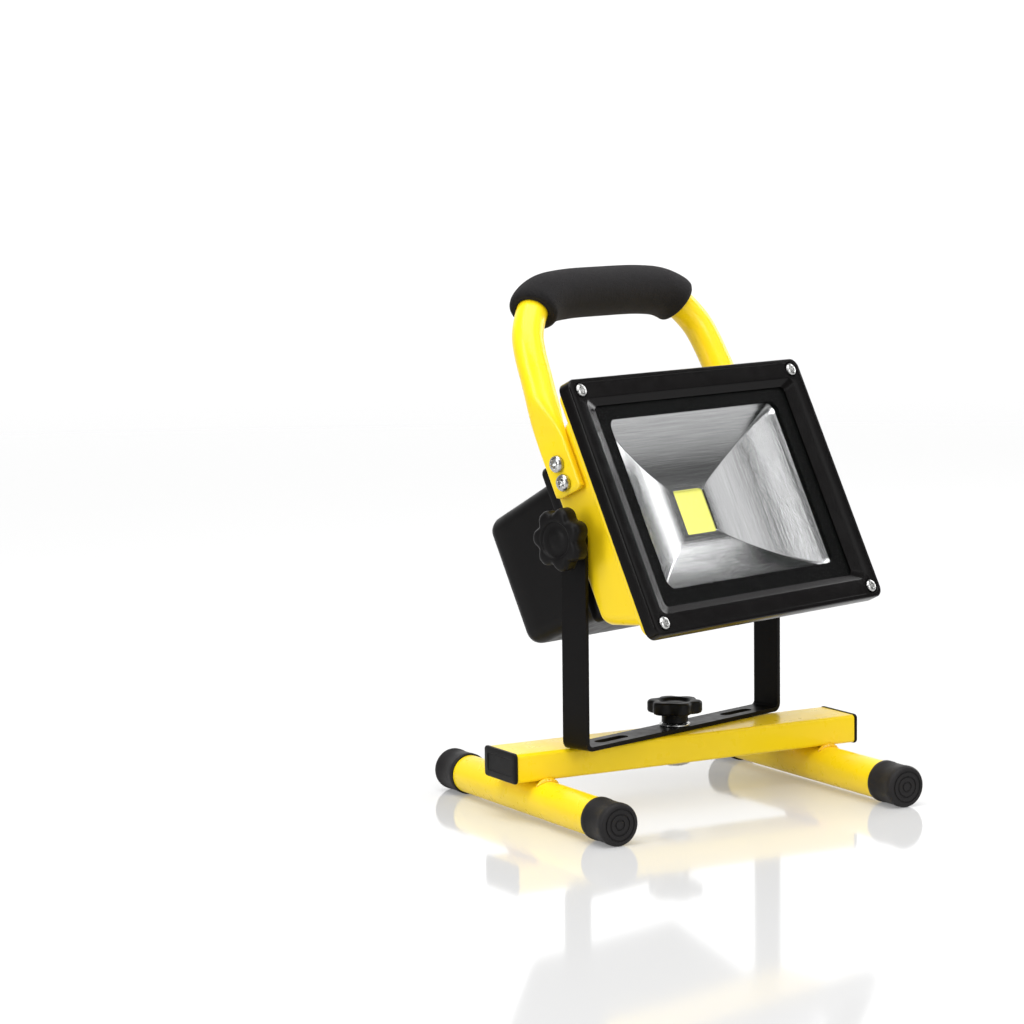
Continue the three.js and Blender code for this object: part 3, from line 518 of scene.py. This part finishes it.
def add_weld(side, edge):
    """A short fillet bead where the bar's side meets the top of a foot tube."""
    rings = []
    for step in range(WELD_STEPS + 1):
        along = step / WELD_STEPS
        offset = (along - 0.5) * WELD_LENGTH
        swell = math.sin(math.pi * min(max(along, 0.02), 0.98)) ** 0.35
        ripple = 1 + 0.07 * math.sin(along * 43)
        size = WELD_SIZE * swell * ripple
        drop = FOOT_RADIUS - math.sqrt(FOOT_RADIUS**2 - offset**2)
        height = WELD_HEIGHT - drop * 0.9
        ring = []
        for i in range(WELD_SIDES):
            angle = math.tau * i / WELD_SIDES
            out, up = math.cos(angle), math.sin(angle)
            out *= size * (1.1 if out > 0 else 0.5)
            up *= size * (0.95 if up > 0 else 0.8)
            ring.append((side * FOOT_X + offset, edge * (WELD_OUT + out), height + up))
        rings.append(ring)
    bead = smooth(make(f"weld_{WELD_NAMES[side, edge]}", *stacked(rings), ROW, "weld_metal"), 80)
    put(bead, "stand", slot="yellow_paint")


def add_swivel_bolt():
    low, high = millimetre_box("swivel_bolt")
    dome = ((0, 0), (2.5, 0.1), (5, 0.5), (7, 1.2), (8.2, 2.1), (8.55, 3.0), (8.55, 3.4))
    head = [(radius, low.z + z) for radius, z in dome]
    shank = [(3.9, low.z + 3.4), (3.9, high.z - 0.8), (3.1, high.z), (0, high.z)]
    bolt = smooth(turned("swivel_coach_bolt", head + shank, ROW, "zinc_steel", 48))
    put(bolt, "stand", "swivel_bolt", slot="zinc_steel")


add_cross_bar()
add_swivel_bolt()
for side_name, side in SIDES:
    add_bar_plug(side_name, side)
    add_foot_tube(side_name)
    for end_name, edge in (("front", -1), ("rear", 1)):
        add_foot_cap(end_name, side_name)
        add_weld(side, edge)

# ---------------------------------------------------------------- U bracket

# The U's strip: width, thickness, half the outside width, lowest point, tilt axis, tops and bend radius.
STRIP = 16.0
THICK = 2.2
ARM = 77.0
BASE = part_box("u_bracket")[0].z * 1000
PIVOT_Z = pivot.z * 1000
ARM_TOP = PIVOT_Z + STRIP / 2
BEND = 4.5
SLOT_X = 49.5
SLOT_HALF = (11.5, 3)


def add_bracket():
    half = STRIP / 2
    inner, steps = BEND - THICK, 8
    left, right, floor = -ARM + BEND, ARM - BEND, BASE + BEND
    path = [(ARM, ARM_TOP + 1), (ARM - THICK, ARM_TOP + 1)]
    path += arc((right, floor), inner, 0, -90, steps)
    path += arc((left, floor), inner, -90, -180, steps)
    path += [(-ARM + THICK, ARM_TOP + 1), (-ARM, ARM_TOP + 1)]
    path += arc((left, floor), BEND, 180, 270, steps)
    path += arc((right, floor), BEND, 270, 360, steps)
    rings = [[(x, y, z) for x, z in path] for y in (-half, half)]
    strip = make("bracket_strip", *stacked(rings), BRACKET, "black_paint")
    outline = [(-half, BASE - 2), (half, BASE - 2)] + arc((0, PIVOT_Z), half, 0, 180, 24)
    rings = [[(x, y, z) for y, z in outline] for x in (-ARM - 13, ARM + 13)]
    combine(strip, "INTERSECT", make("ends", *stacked(rings), BRACKET, "black_paint"))
    for direction in (-1, 1):
        rings = [rectangle(SLOT_HALF, z, SLOT_HALF[1] - 0.01) for z in (BASE - 3, BASE + 6)]
        rings = [[(x + direction * SLOT_X, y, z) for x, y, z in ring] for ring in rings]
        combine(strip, "DIFFERENCE", make("slot", *stacked(rings), BRACKET, "black_paint"))
    rounded(strip, 0.35)
    put(strip, "bracket", "u_bracket", slot="black_paint")


add_bracket()

# ---------------------------------------------------------------- washers and knobs


def add_washer(name, matrix, outer, inner, part):
    """A flat washer, whose body and CAD node have one name."""
    profile = [
        (inner, 0.1), (inner + 0.15, 0), (outer - 0.2, 0), (outer, 0.2),
        (outer, 0.8), (outer - 0.2, 1), (inner + 0.15, 1), (inner, 0.9),
    ]
    washer = smooth(turned(name, profile, matrix, "zinc_steel", 56, loop=True))
    put(washer, part, part, slot="zinc_steel")


def knob_rings(radius, hollow, lobes, height, head, hub, edge):
    """Rings from the hub's foot up over the lobed head and into the dished top."""
    under = height - head
    dish = radius * 0.56
    levels = [
        (hub - 0.5, 0, 0), (hub, 0.5, 0), (hub, under - 1.2, 0),
        (hub + 0.5, under - 0.2, 0.15), (hub + 2, under, 0.5),
        (radius - 1.5, under + 0.1, 0.95), (radius - 0.5, under + 0.5, 1), (radius, under + 1.4, 1),
        *((radius - edge + r, height - edge + z, 1) for r, z in arc((0, 0), edge, 0, 82, 5)),
        (dish + 1.3, height, 0.25), (dish + 0.4, height - 0.15, 0.0),
        (dish, height - 0.5, 0), (dish - 0.35, height - 1.1, 0), (dish - 1.2, height - 1.35, 0),
        (dish * 0.55, height - 1.3, 0), (dish * 0.5, height - 1.0, 0), (dish * 0.2, height - 0.95, 0),
        (0.01, height - 0.95, 0),
    ]
    count = lobes * 18
    rings = []
    for reach, z, lobed in levels:
        ring = []
        for i in range(count):
            angle = math.tau * i / count
            dip = hollow * (0.5 - 0.5 * math.cos(lobes * angle)) ** 1.6
            r = reach - dip * lobed
            ring.append((r * math.cos(angle), r * math.sin(angle), z))
        rings.append(ring)
    return rings


def add_knob(name, matrix, size, part):
    """A lobed knob, whose body and CAD node have one name."""
    knob = smooth(make(name, *stacked(knob_rings(*size)), matrix, "black_plastic"), 42)
    put(knob, part, part, slot="black_plastic")


# Knobs: radius, depth and number of the hollows, height, head, hub radius and edge radius.
SWIVEL_KNOB = (14.25, 2.4, 6, 11.6, 6.6, 6.8, 1.5)
TILT_KNOB = (16, 2.8, 7, 12, 9, 8, 3.4)
# Washers: outer and inner radius.
SWIVEL_WASHER = (8, 4.2)
TILT_WASHER = (7, 3.25)
# Where the tilt washers and knobs start, out from the lamp's middle.
WASHER_START, KNOB_START = 77.3, 78.6

washer_place = BRACKET @ at(0, 0, millimetre_box("swivel_washer")[0].z)
knob_place = BRACKET @ at(0, 0, millimetre_box("swivel_knob")[0].z)
add_washer("swivel_flat_washer", washer_place, *SWIVEL_WASHER, "swivel_washer")
add_knob("swivel_hand_knob", knob_place, SWIVEL_KNOB, "swivel_knob")
for side_name, side in SIDES:
    outward = LAMP @ turn(90 * side, "Y")
    washer_place, knob_place = outward @ at(0, 0, WASHER_START), outward @ at(0, 0, KNOB_START)
    add_washer(f"tilt_flat_washer_{side_name}", washer_place, *TILT_WASHER, f"tilt_washer_{side_name}")
    add_knob(f"tilt_hand_knob_{side_name}", knob_place, TILT_KNOB, f"tilt_knob_{side_name}")

# ---------------------------------------------------------------- lamp body

# Half sizes, and distances out of the glass from the tilt axis; RISE is the face's middle above that axis.
RISE = 1.0
FACE = (90.0, 67.0)
BEZEL_BACK, BEZEL_FRONT, GLASS_FRONT = 34.3, 42.0, 38.3
BEZEL_SCREWS_AT = [(sx * 82.4, RISE + sy * 60.9) for sx in (-1, 1) for sy in (-1, 1)]
BOX_SCREWS_AT = ((50, 24), (50, -28), (-50, 24), (-50, -28))
HOUSING_REAR, HOUSING_DEPTH = -4.8, 34.6
FLANGE_BACK, FLANGE_FRONT = 29.7, 34
GROOVE_FLOOR = 32.5
PRINT_WINDOW, PRINT_RISE, PRINT_FRONT = (65.8, 45.05), 1.92, 37.9
REFLECTOR_NECK, REFLECTOR_FLOOR, REFLECTOR_RIM = 11.9, 16.4, 33.5
REFLECTOR_WINDOW = (66.8, 46.0)
REFLECTOR_CURVE = 1.65


def grown(half, amount):
    return (half[0] + amount, half[1] + amount)


def add_housing():
    rear = (72.3, 46.8)
    front = (72.3, 60.5)
    flange = (87, 64)
    levels = [
        (grown(rear, -2.2), 4, HOUSING_REAR), (grown(rear, -1.0), 5, HOUSING_REAR + 0.2),
        (grown(rear, -0.3), 5.6, HOUSING_REAR + 0.9),
    ]
    for spread in (0.06, 0.2, 0.4, 0.6, 0.8, 0.93):
        half = (front[0], rear[1] + (front[1] - rear[1]) * spread)
        levels.append((half, 6 + 2 * spread, HOUSING_REAR + HOUSING_DEPTH * spread))
    levels += [
        ((73.1, 61.2), 8, FLANGE_BACK - 0.8), ((74.4, 62.2), 8, FLANGE_BACK), (grown(flange, -1), 5, 29.85),
        (grown(flange, -0.2), 5, 30.4), (flange, 5, 31), (flange, 5, FLANGE_FRONT - 0.4),
        (grown(flange, -0.4), 5, FLANGE_FRONT), ((78, 57.4), 5, FLANGE_FRONT), ((78, 57.4), 5, GROOVE_FLOOR),
        ((74.6, 54), 3, GROOVE_FLOOR), ((74.6, 54), 3, FLANGE_FRONT), ((68.4, 52.8), 6, FLANGE_FRONT),
        ((66.6, 40.2), 5, 0.0),
    ]
    rings = outlines(levels, RISE)
    shell = smooth(make("housing_casting", *stacked(rings), LAMP, "yellow_housing"), 38)
    put(shell, "lamp_head", "housing", slot="yellow_housing")


def add_bezel():
    opening, lip = (81.0, 56.3), (74.6, 52.8)
    face_z = BEZEL_FRONT - 0.25
    levels = [
        (grown(FACE, -0.4), 5, BEZEL_BACK), (FACE, 5, BEZEL_BACK + 0.4), (FACE, 5, BEZEL_FRONT - 0.8),
        (grown(FACE, -0.2), 4.9, BEZEL_FRONT - 0.35), (grown(FACE, -0.5), 4.7, BEZEL_FRONT - 0.08),
        (grown(FACE, -0.9), 4.5, BEZEL_FRONT), (grown(FACE, -2.2), 3.8, BEZEL_FRONT),
        (grown(FACE, -2.4), 3.7, face_z), (grown(opening, 0.5), 4.3, face_z),
        (grown(opening, 0.1), 4, face_z - 0.12), (grown(opening, -0.3), 4, face_z - 0.4),
        (grown(lip, 0.2), 3, 39.35), (lip, 3, 39.2), (lip, 3, 38.65),
        ((79.3, 58.3), 4, 38.6), ((79.3, 58.3), 4, BEZEL_BACK),
    ]
    rings = outlines(levels, RISE, 10)
    face = make("bezel_casting", *stacked(rings, loop=True), LAMP, "black_bezel")
    for x, y in BEZEL_SCREWS_AT:
        pit = [circle(4, z, 40, x, y) for z in (BEZEL_FRONT - 1, BEZEL_FRONT + 2)]
        combine(face, "DIFFERENCE", make("pit", *stacked(pit), LAMP, "black_bezel"))
    smooth(face, 24)
    put(face, "lamp_head", "bezel", slot="black_bezel")


def add_glass():
    half = (79.0, 58.0)
    levels = [((78.6, 57.6), 4, 34.6), (half, 4, 34.9), (half, 4, 38), ((78.7, 57.7), 4, GLASS_FRONT)]
    pane = smooth(make("glass_pane", *stacked(outlines(levels, RISE)), LAMP, "clear_glass"))
    put(pane, "lamp_head", "front_glass", slot="clear_glass")
    front, back = PRINT_FRONT, PRINT_FRONT - 0.12
    window = [rectangle(PRINT_WINDOW, z, 5.5, PRINT_RISE, 8) for z in (front, back)]
    edge = [rectangle((78.9, 57.9), z, 4, RISE, 8) for z in (front, back)]
    rings = [window[0], edge[0], edge[1], window[1]]
    border = make("glass_printed_border", *stacked(rings, loop=True), LAMP, "glass_print")
    put(smooth(border), "lamp_head", slot="clear_glass")


def brush(skin):
    """Texture coordinates that run along each panel, with the side panels' pattern shifted by a metre."""
    layer = skin.data.uv_layers.new(name="lines")
    inverse = LAMP.inverted()
    for face in skin.data.polygons:
        centre = inverse @ face.center
        upward = abs(centre.y - RISE / 1000) / REFLECTOR_WINDOW[1]
        sideways = abs(centre.x) / REFLECTOR_WINDOW[0]
        for loop_index in face.loop_indices:
            point = inverse @ skin.data.vertices[skin.data.loops[loop_index].vertex_index].co
            along, across = (point.x, point.y) if upward > sideways else (point.y + 1.0, point.x)
            layer.data[loop_index].uv = (along * 10, across * 10)


def add_reflector():
    """Four polished panels that curve from the window down to the emitter, with a mitre at each corner.

    The lip round the window covers the housing's flange, which would otherwise show through the glass.
    """
    levels = 22
    panels = []
    for level in range(levels + 1):
        spread = level / levels
        z = REFLECTOR_FLOOR + (REFLECTOR_RIM - REFLECTOR_FLOOR) * spread**REFLECTOR_CURVE
        half = tuple(REFLECTOR_NECK + (side - REFLECTOR_NECK) * spread for side in REFLECTOR_WINDOW)
        panels.append(rectangle(half, z, 0.7 + 5.3 * spread**8, RISE * spread, 5))
    foot = (REFLECTOR_NECK - 0.4, REFLECTOR_NECK - 0.4)
    base = [rectangle(foot, z, 1, 0, 5) for z in (14.2, 15.4)]
    lip = (
        (67.3, 46.5, 34.05), (67.8, 47, 34.2), (70.9, 51.3, 34.2), (70.9, 51.3, 34.06), (67.9, 47.4, 34.06),
    )
    rim = [rectangle((x, y), z, 6, RISE, 5) for x, y, z in lip]
    outside = [
        [(x + math.copysign(0.5, x), y + math.copysign(0.5, y), z - 0.55) for x, y, z in ring]
        for ring in reversed(panels)
    ]
    rings = base + panels + rim + outside
    skin = make("reflector_panels", *stacked(rings, loop=True), LAMP, "brushed_reflector")
    brush(skin)
    smooth(skin, 20)
    put(skin, "lamp_head", "reflector", slot="brushed_reflector")


def add_emitter():
    half = 11.5
    levels = (
        (half - 0.1, 14.0), (half, 14.1), (half, 14.7), (half - 0.15, 14.85),
        (half - 0.8, 14.9), (half - 1.2, 14.8), (half - 2.5, 14.86), (2, 14.95),
    )
    rings = [rectangle((size, size), z, min(0.9, size * 0.3), 0, 4) for size, z in levels]
    chip = smooth(make("emitter_chip", *stacked(rings), LAMP, "phosphor"))
    put(chip, "lamp_head", "led_emitter", slot="phosphor")


# ---------------------------------------------------------------- screws

# Pan-head screws: head radius, head height, shank radius and shank length.
BEZEL_SCREW = (3.3, 2.0, 1.7, 10)
STRAP_SCREW = (4.3, 2.8, 2.2, 9.5)
BOX_SCREW = (3.6, 2.4, 1.7, 65)
STRAP_OUT, STRAP_SCREW_HEIGHTS, HANDLE_PLANE = 77.0, (26.6, 36.6), 6.5
BOX_SCREW_SEAT = -67.9


def add_screw(name, matrix, size, node):
    """A pan-head screw with a cross recess."""
    radius, height, shank, length = size
    steps, reach = 64, radius * 0.52
    shares = (0.02, 0.07, 0.12, 0.17, 0.22, 0.28, 0.34, 0.4, 0.46, 0.52, 0.58, 0.68, 0.78, 0.87, 0.94, 0.98)
    radii = [radius * share for share in shares]
    sides = ((shank, -length), (shank, -0.2), (radius - 0.1, 0), (radius, 0.15), (radius, height * 0.32))
    rings = [circle(r, z, steps) for r, z in sides]
    for r in reversed(radii):
        ring = []
        for i in range(steps):
            angle = math.tau * i / steps
            x, y = r * math.cos(angle), r * math.sin(angle)
            z = height * (0.32 + 0.68 * math.sqrt(max(0, 1 - (r / radius) ** 2.6)))
            thin, long = sorted((abs(x), abs(y)))
            width = radius * 0.15 * (1.25 - 0.4 * long / reach)
            inside = min(max((width - thin) / (radius * 0.07) + 0.5, 0), 1)
            inside *= min(max((reach - long) / (radius * 0.08) + 0.5, 0), 1)
            ring.append((x, y, z - inside * height * 0.62 * (1.1 - 0.5 * long / reach)))
        rings.append(ring)
    screw = smooth(make(name, *stacked(rings), matrix, "zinc_steel"), 48)
    put(screw, "lamp_head", node, slot="zinc_steel")


def add_screws():
    for index, (x, y) in enumerate(BEZEL_SCREWS_AT):
        matrix = LAMP @ at(x, y, BEZEL_FRONT - 0.7) @ turn(20 + 37 * index, "Z")
        add_screw(f"bezel_pan_screw_{index + 1}", matrix, BEZEL_SCREW, f"bezel_screw_{index + 1}")
    for side_name, side in SIDES:
        for index, height in enumerate(STRAP_SCREW_HEIGHTS):
            outward = LAMP @ at(side * STRAP_OUT, height, HANDLE_PLANE) @ turn(90 * side, "Y")
            matrix = outward @ turn(31 + 52 * index, "Z")
            name, node = (f"{kind}_screw_{side_name}_{index + 1}" for kind in ("strap", "handle"))
            add_screw(name, matrix, STRAP_SCREW, node)
    for index, (x, y) in enumerate(BOX_SCREWS_AT):
        matrix = LAMP @ at(x, y, BOX_SCREW_SEAT) @ turn(180, "X") @ turn(15 + 41 * index, "Z")
        add_screw(f"case_screw_{index + 1}", matrix, BOX_SCREW, f"box_screw_{index + 1}")


add_housing()
add_bezel()
add_glass()
add_reflector()
add_emitter()
add_screws()

# ---------------------------------------------------------------- handle and grip

HANDLE_LINE = [
    (74.7, 20.5), (74.7, 34), (74.6, 50), (72.6, 66), (70.6, 80), (68.8, 94), (66.2, 104),
    (61.3, 112), (54.2, 119.6), (44.8, 124.1), (30, 126.1),
]
HANDLE_TOP = 126.6
HANDLE_STEPS = 240
GRIP_START, GRIP_RADIUS, GRIP_BORE = 117.5, 12.8, 8.6


def spline(points, per_span=24):
    """A centripetal Catmull-Rom curve through the points."""
    ends = [points[0] * 2 - points[1], *points, points[-1] * 2 - points[-2]]
    line = []
    for i in range(1, len(ends) - 2):
        a, b, c, d = ends[i - 1:i + 3]
        ab, bc, cd = (max((q - p).length, 1e-6) ** 0.5 for p, q in ((a, b), (b, c), (c, d)))
        start = ((b - a) / ab - (c - a) / (ab + bc) + (c - b) / bc) * bc
        end = ((c - b) / bc - (d - b) / (bc + cd) + (d - c) / cd) * bc
        for step in range(per_span):
            t = step / per_span
            point = b * (2 * t**3 - 3 * t**2 + 1) + start * (t**3 - 2 * t**2 + t)
            line.append(point + c * (3 * t**2 - 2 * t**3) + end * (t**3 - t**2))
    line.append(points[-1])
    return line


def evenly(line, count):
    """The line as count + 1 equally spaced points."""
    lengths = [0.0]
    for p, q in zip(line, line[1:]):
        lengths.append(lengths[-1] + (q - p).length)
    spaced, index = [], 0
    for step in range(count + 1):
        target = lengths[-1] * step / count
        while index < len(lengths) - 2 and lengths[index + 1] < target:
            index += 1
        share = (target - lengths[index]) / (lengths[index + 1] - lengths[index])
        spaced.append(line[index].lerp(line[index + 1], min(max(share, 0), 1)))
    return spaced


def smoothstep(value, low, high):
    t = min(max((value - low) / (high - low), 0), 1)
    return t * t * (3 - 2 * t)


right_side = [Vector((x, y, HANDLE_PLANE)) for x, y in HANDLE_LINE]
left_side = [Vector((-x, y, HANDLE_PLANE)) for x, y in HANDLE_LINE]
handle_points = [*left_side, Vector((0, HANDLE_TOP, HANDLE_PLANE)), *reversed(right_side)]
handle_line = evenly(spline(handle_points), HANDLE_STEPS)


def section(index, thickness, width, squareness, steps):
    """A rounded section across the handle's line; a squareness of 2 gives an ellipse."""
    here = handle_line[index]
    tangent = handle_line[min(index + 1, HANDLE_STEPS)] - handle_line[max(index - 1, 0)]
    across = Vector((-tangent.y, tangent.x, 0)).normalized()
    ring = []
    for i in range(steps):
        angle = math.tau * i / steps
        c, s = math.cos(angle), math.sin(angle)
        point = here + across * (thickness * math.copysign(abs(c) ** (2 / squareness), c))
        point.z += width * math.copysign(abs(s) ** (2 / squareness), s)
        ring.append(tuple(point))
    return ring


def add_handle():
    rings = []
    for index, point in enumerate(handle_line):
        round_share = smoothstep(point.y, 46, 74)
        from_end = min(index, HANDLE_STEPS - index)
        edge = 1 - 0.25 * max(0, 1 - from_end / 1.2) ** 2
        thickness, width = (2 + 6 * round_share) * edge, (9.3 - 1.3 * round_share) * edge
        rings.append(section(index, thickness, width, 4.5 - 2.5 * round_share, 48))
    tube = smooth(make("handle_bow", *stacked(rings), LAMP, "yellow_paint"), 50)
    put(tube, "lamp_head", "handle_tube", slot="yellow_paint")


def add_grip():
    start = next(i for i, point in enumerate(handle_line) if point.y > GRIP_START)
    end = HANDLE_STEPS - start
    outside = []
    for index in range(start, end + 1):
        along = (index - start) / (end - start)
        near = min(along, 1 - along) * (end - start)
        edge = min(near / 3, 1)
        radius = GRIP_RADIUS * (0.87 + 0.13 * math.sqrt(1 - (1 - edge) ** 2))
        outside.append(section(index, radius, radius, 2, 64))
    mouth_radii = (GRIP_BORE, 9.4, 10.6)
    mouth = [section(start, r, r, 2, 64) for r in mouth_radii]
    mouth_end = [section(end, r, r, 2, 64) for r in reversed(mouth_radii)]
    bore = [section(index, GRIP_BORE, GRIP_BORE, 2, 64) for index in range(end - 2, start, -4)]
    rings = mouth + outside + mouth_end + bore
    sleeve = make("foam_sleeve", *stacked(rings, loop=True), LAMP, "black_foam")
    put(smooth(sleeve, 70), "lamp_head", "foam_grip", slot="black_foam")


add_handle()
add_grip()

# ---------------------------------------------------------------- battery pack

BOX_REAR, BOX_FRONT = -71.0, -12.1
SWITCH_AT, SOCKET_AT, LENS_AT = (42.2, -2), (-42, -10), (-42, 10)
SWITCH_FACE, SOCKET_FACE = -73.3, -72.8


def add_plate():
    half = (70.5, 41.4)
    levels = [
        (grown(half, -1), 3.4, -11.8), (grown(half, -0.3), 3.8, -11.55), (half, 4, -10.9),
        (half, 4, -6.0), (grown(half, -0.3), 3.8, -5.35), (grown(half, -0.9), 3.4, -5.1),
    ]
    plate = smooth(make("battery_back_plate", *stacked(outlines(levels, -1)), LAMP, "black_plastic"))
    put(plate, "lamp_head", "battery_plate", slot="black_plastic")


def add_case():
    width = 59.5
    levels = [
        ((width - 7.5, 28.5), 4, BOX_REAR, -1), ((width - 5.5, 30.5), 5, BOX_REAR + 0.12, -1),
        ((width - 4.1, 31.9), 5.8, BOX_REAR + 0.6, -1), ((width - 3, 33), 6.5, BOX_REAR + 1.5, -1),
        ((width - 2.1, 33.9), 7.4, BOX_REAR + 3.1, -0.95), ((width - 1.5, 34.5), 8, BOX_REAR + 5, -0.9),
    ]
    for share in (0.15, 0.3, 0.45, 0.6, 0.75, 0.9, 0.97):
        half = (width - 1.5 + 1.5 * share, 34.5 + 2.8 * share)
        levels.append((half, 8, BOX_REAR + 5 + 53.9 * share, -0.9 + 0.3 * share))
    levels.append(((width - 0.4, 36.9), 7.8, BOX_FRONT, -0.6))
    rings = [rectangle(h, z, r, rise, 10) for h, r, z, rise in levels]
    case = make("battery_case", *stacked(rings), LAMP, "black_plastic")
    for x, y in BOX_SCREWS_AT:
        well = [circle(4.1, z, 40, x, y) for z in (BOX_REAR - 2, BOX_REAR + 3.4)]
        combine(case, "DIFFERENCE", make("well", *stacked(well), LAMP, "black_plastic"))
    for (x, y), radius in ((SWITCH_AT, 9.3), (SOCKET_AT, 4.5), (LENS_AT, 2.8)):
        hole = [circle(radius, z, 48, x, y) for z in (BOX_REAR - 2, BOX_REAR + 19)]
        combine(case, "DIFFERENCE", make("hole", *stacked(hole), LAMP, "black_plastic"))
    smooth(case, 40)
    put(case, "lamp_head", "battery_box", slot="black_plastic")


def add_turned(name, profile, place, finish, steps, node=None, loop=False):
    """A piece turned about an axis through the rear wall of the battery box."""
    piece = smooth(turned(name, profile, LAMP @ at(*place), finish, steps, loop=loop), 50)
    put(piece, "lamp_head", *([node] if node else []), slot=finish)


def add_switch():
    profile = (
        (7.5, 10), (7.5, 0.9), (8.0, 0.3), (9.2, 0), (10.0, 0.2), (10.5, 0.9), (10.5, 2), (9, 2.05),
        (9, 17.8), (7.2, 18), (7.2, 10),
    )
    place = (*SWITCH_AT, SWITCH_FACE)
    add_turned("switch_bezel_ring", profile, place, "black_plastic", 64, "switch_frame", loop=True)
    rounded(nodes["switch_rocker"], 0.3)


def add_socket():
    profile = (
        (0, 9.4), (2.8, 9.4), (2.8, 0.5), (3.2, 0), (5.2, 0), (5.7, 0.3), (5.8, 0.8), (5.8, 1.5),
        (4.2, 1.5), (4.2, 12), (0, 12),
    )
    place = (*SOCKET_AT, SOCKET_FACE)
    add_turned("charging_socket", profile, place, "black_plastic", 48, "charge_socket")
    pin = ((0, 9.3), (0.95, 9.3), (0.95, 1.6), (0.6, 1.05), (0, 1.0))
    add_turned("charging_socket_pin", pin, place, "zinc_steel", 24)
    dome = (
        (0, -0.4), (0.8, -0.36), (1.7, -0.15), (2.4, 0.12), (3.1, 0.5), (3.4, 0.9), (3.4, 1.5),
        (2.4, 1.5), (2.4, 8), (0, 8),
    )
    add_turned("indicator_dome", dome, (*LENS_AT, SOCKET_FACE), "red_plastic", 40, "indicator_lens")


add_plate()
add_case()
add_switch()
add_socket()

for name in ("cell_holder_left", "cell_holder_right", "control_board", "led_board"):
    rounded(nodes[name], 0.2)

# ---------------------------------------------------------------- floor

FLOOR_REACH = 14  # metres, from the middle to each edge


def add_floor():
    made, shader = principled("floor_gloss", (0.5, 0.5, 0.5), 0.08)
    shader.inputs["Emission Color"].default_value = (1, 1, 1, 1)
    shader.inputs["Emission Strength"].default_value = 0.2
    mesh = bpy.data.meshes.new("floor")
    corners = [(sx * FLOOR_REACH, sy * FLOOR_REACH, 0) for sx, sy in ((-1, -1), (1, -1), (1, 1), (-1, 1))]
    mesh.from_pydata(corners, [], [(0, 1, 2, 3)])
    mesh.materials.append(made)
    floor = bpy.data.objects.new("floor", mesh)
    scene.collection.objects.link(floor)


add_floor()
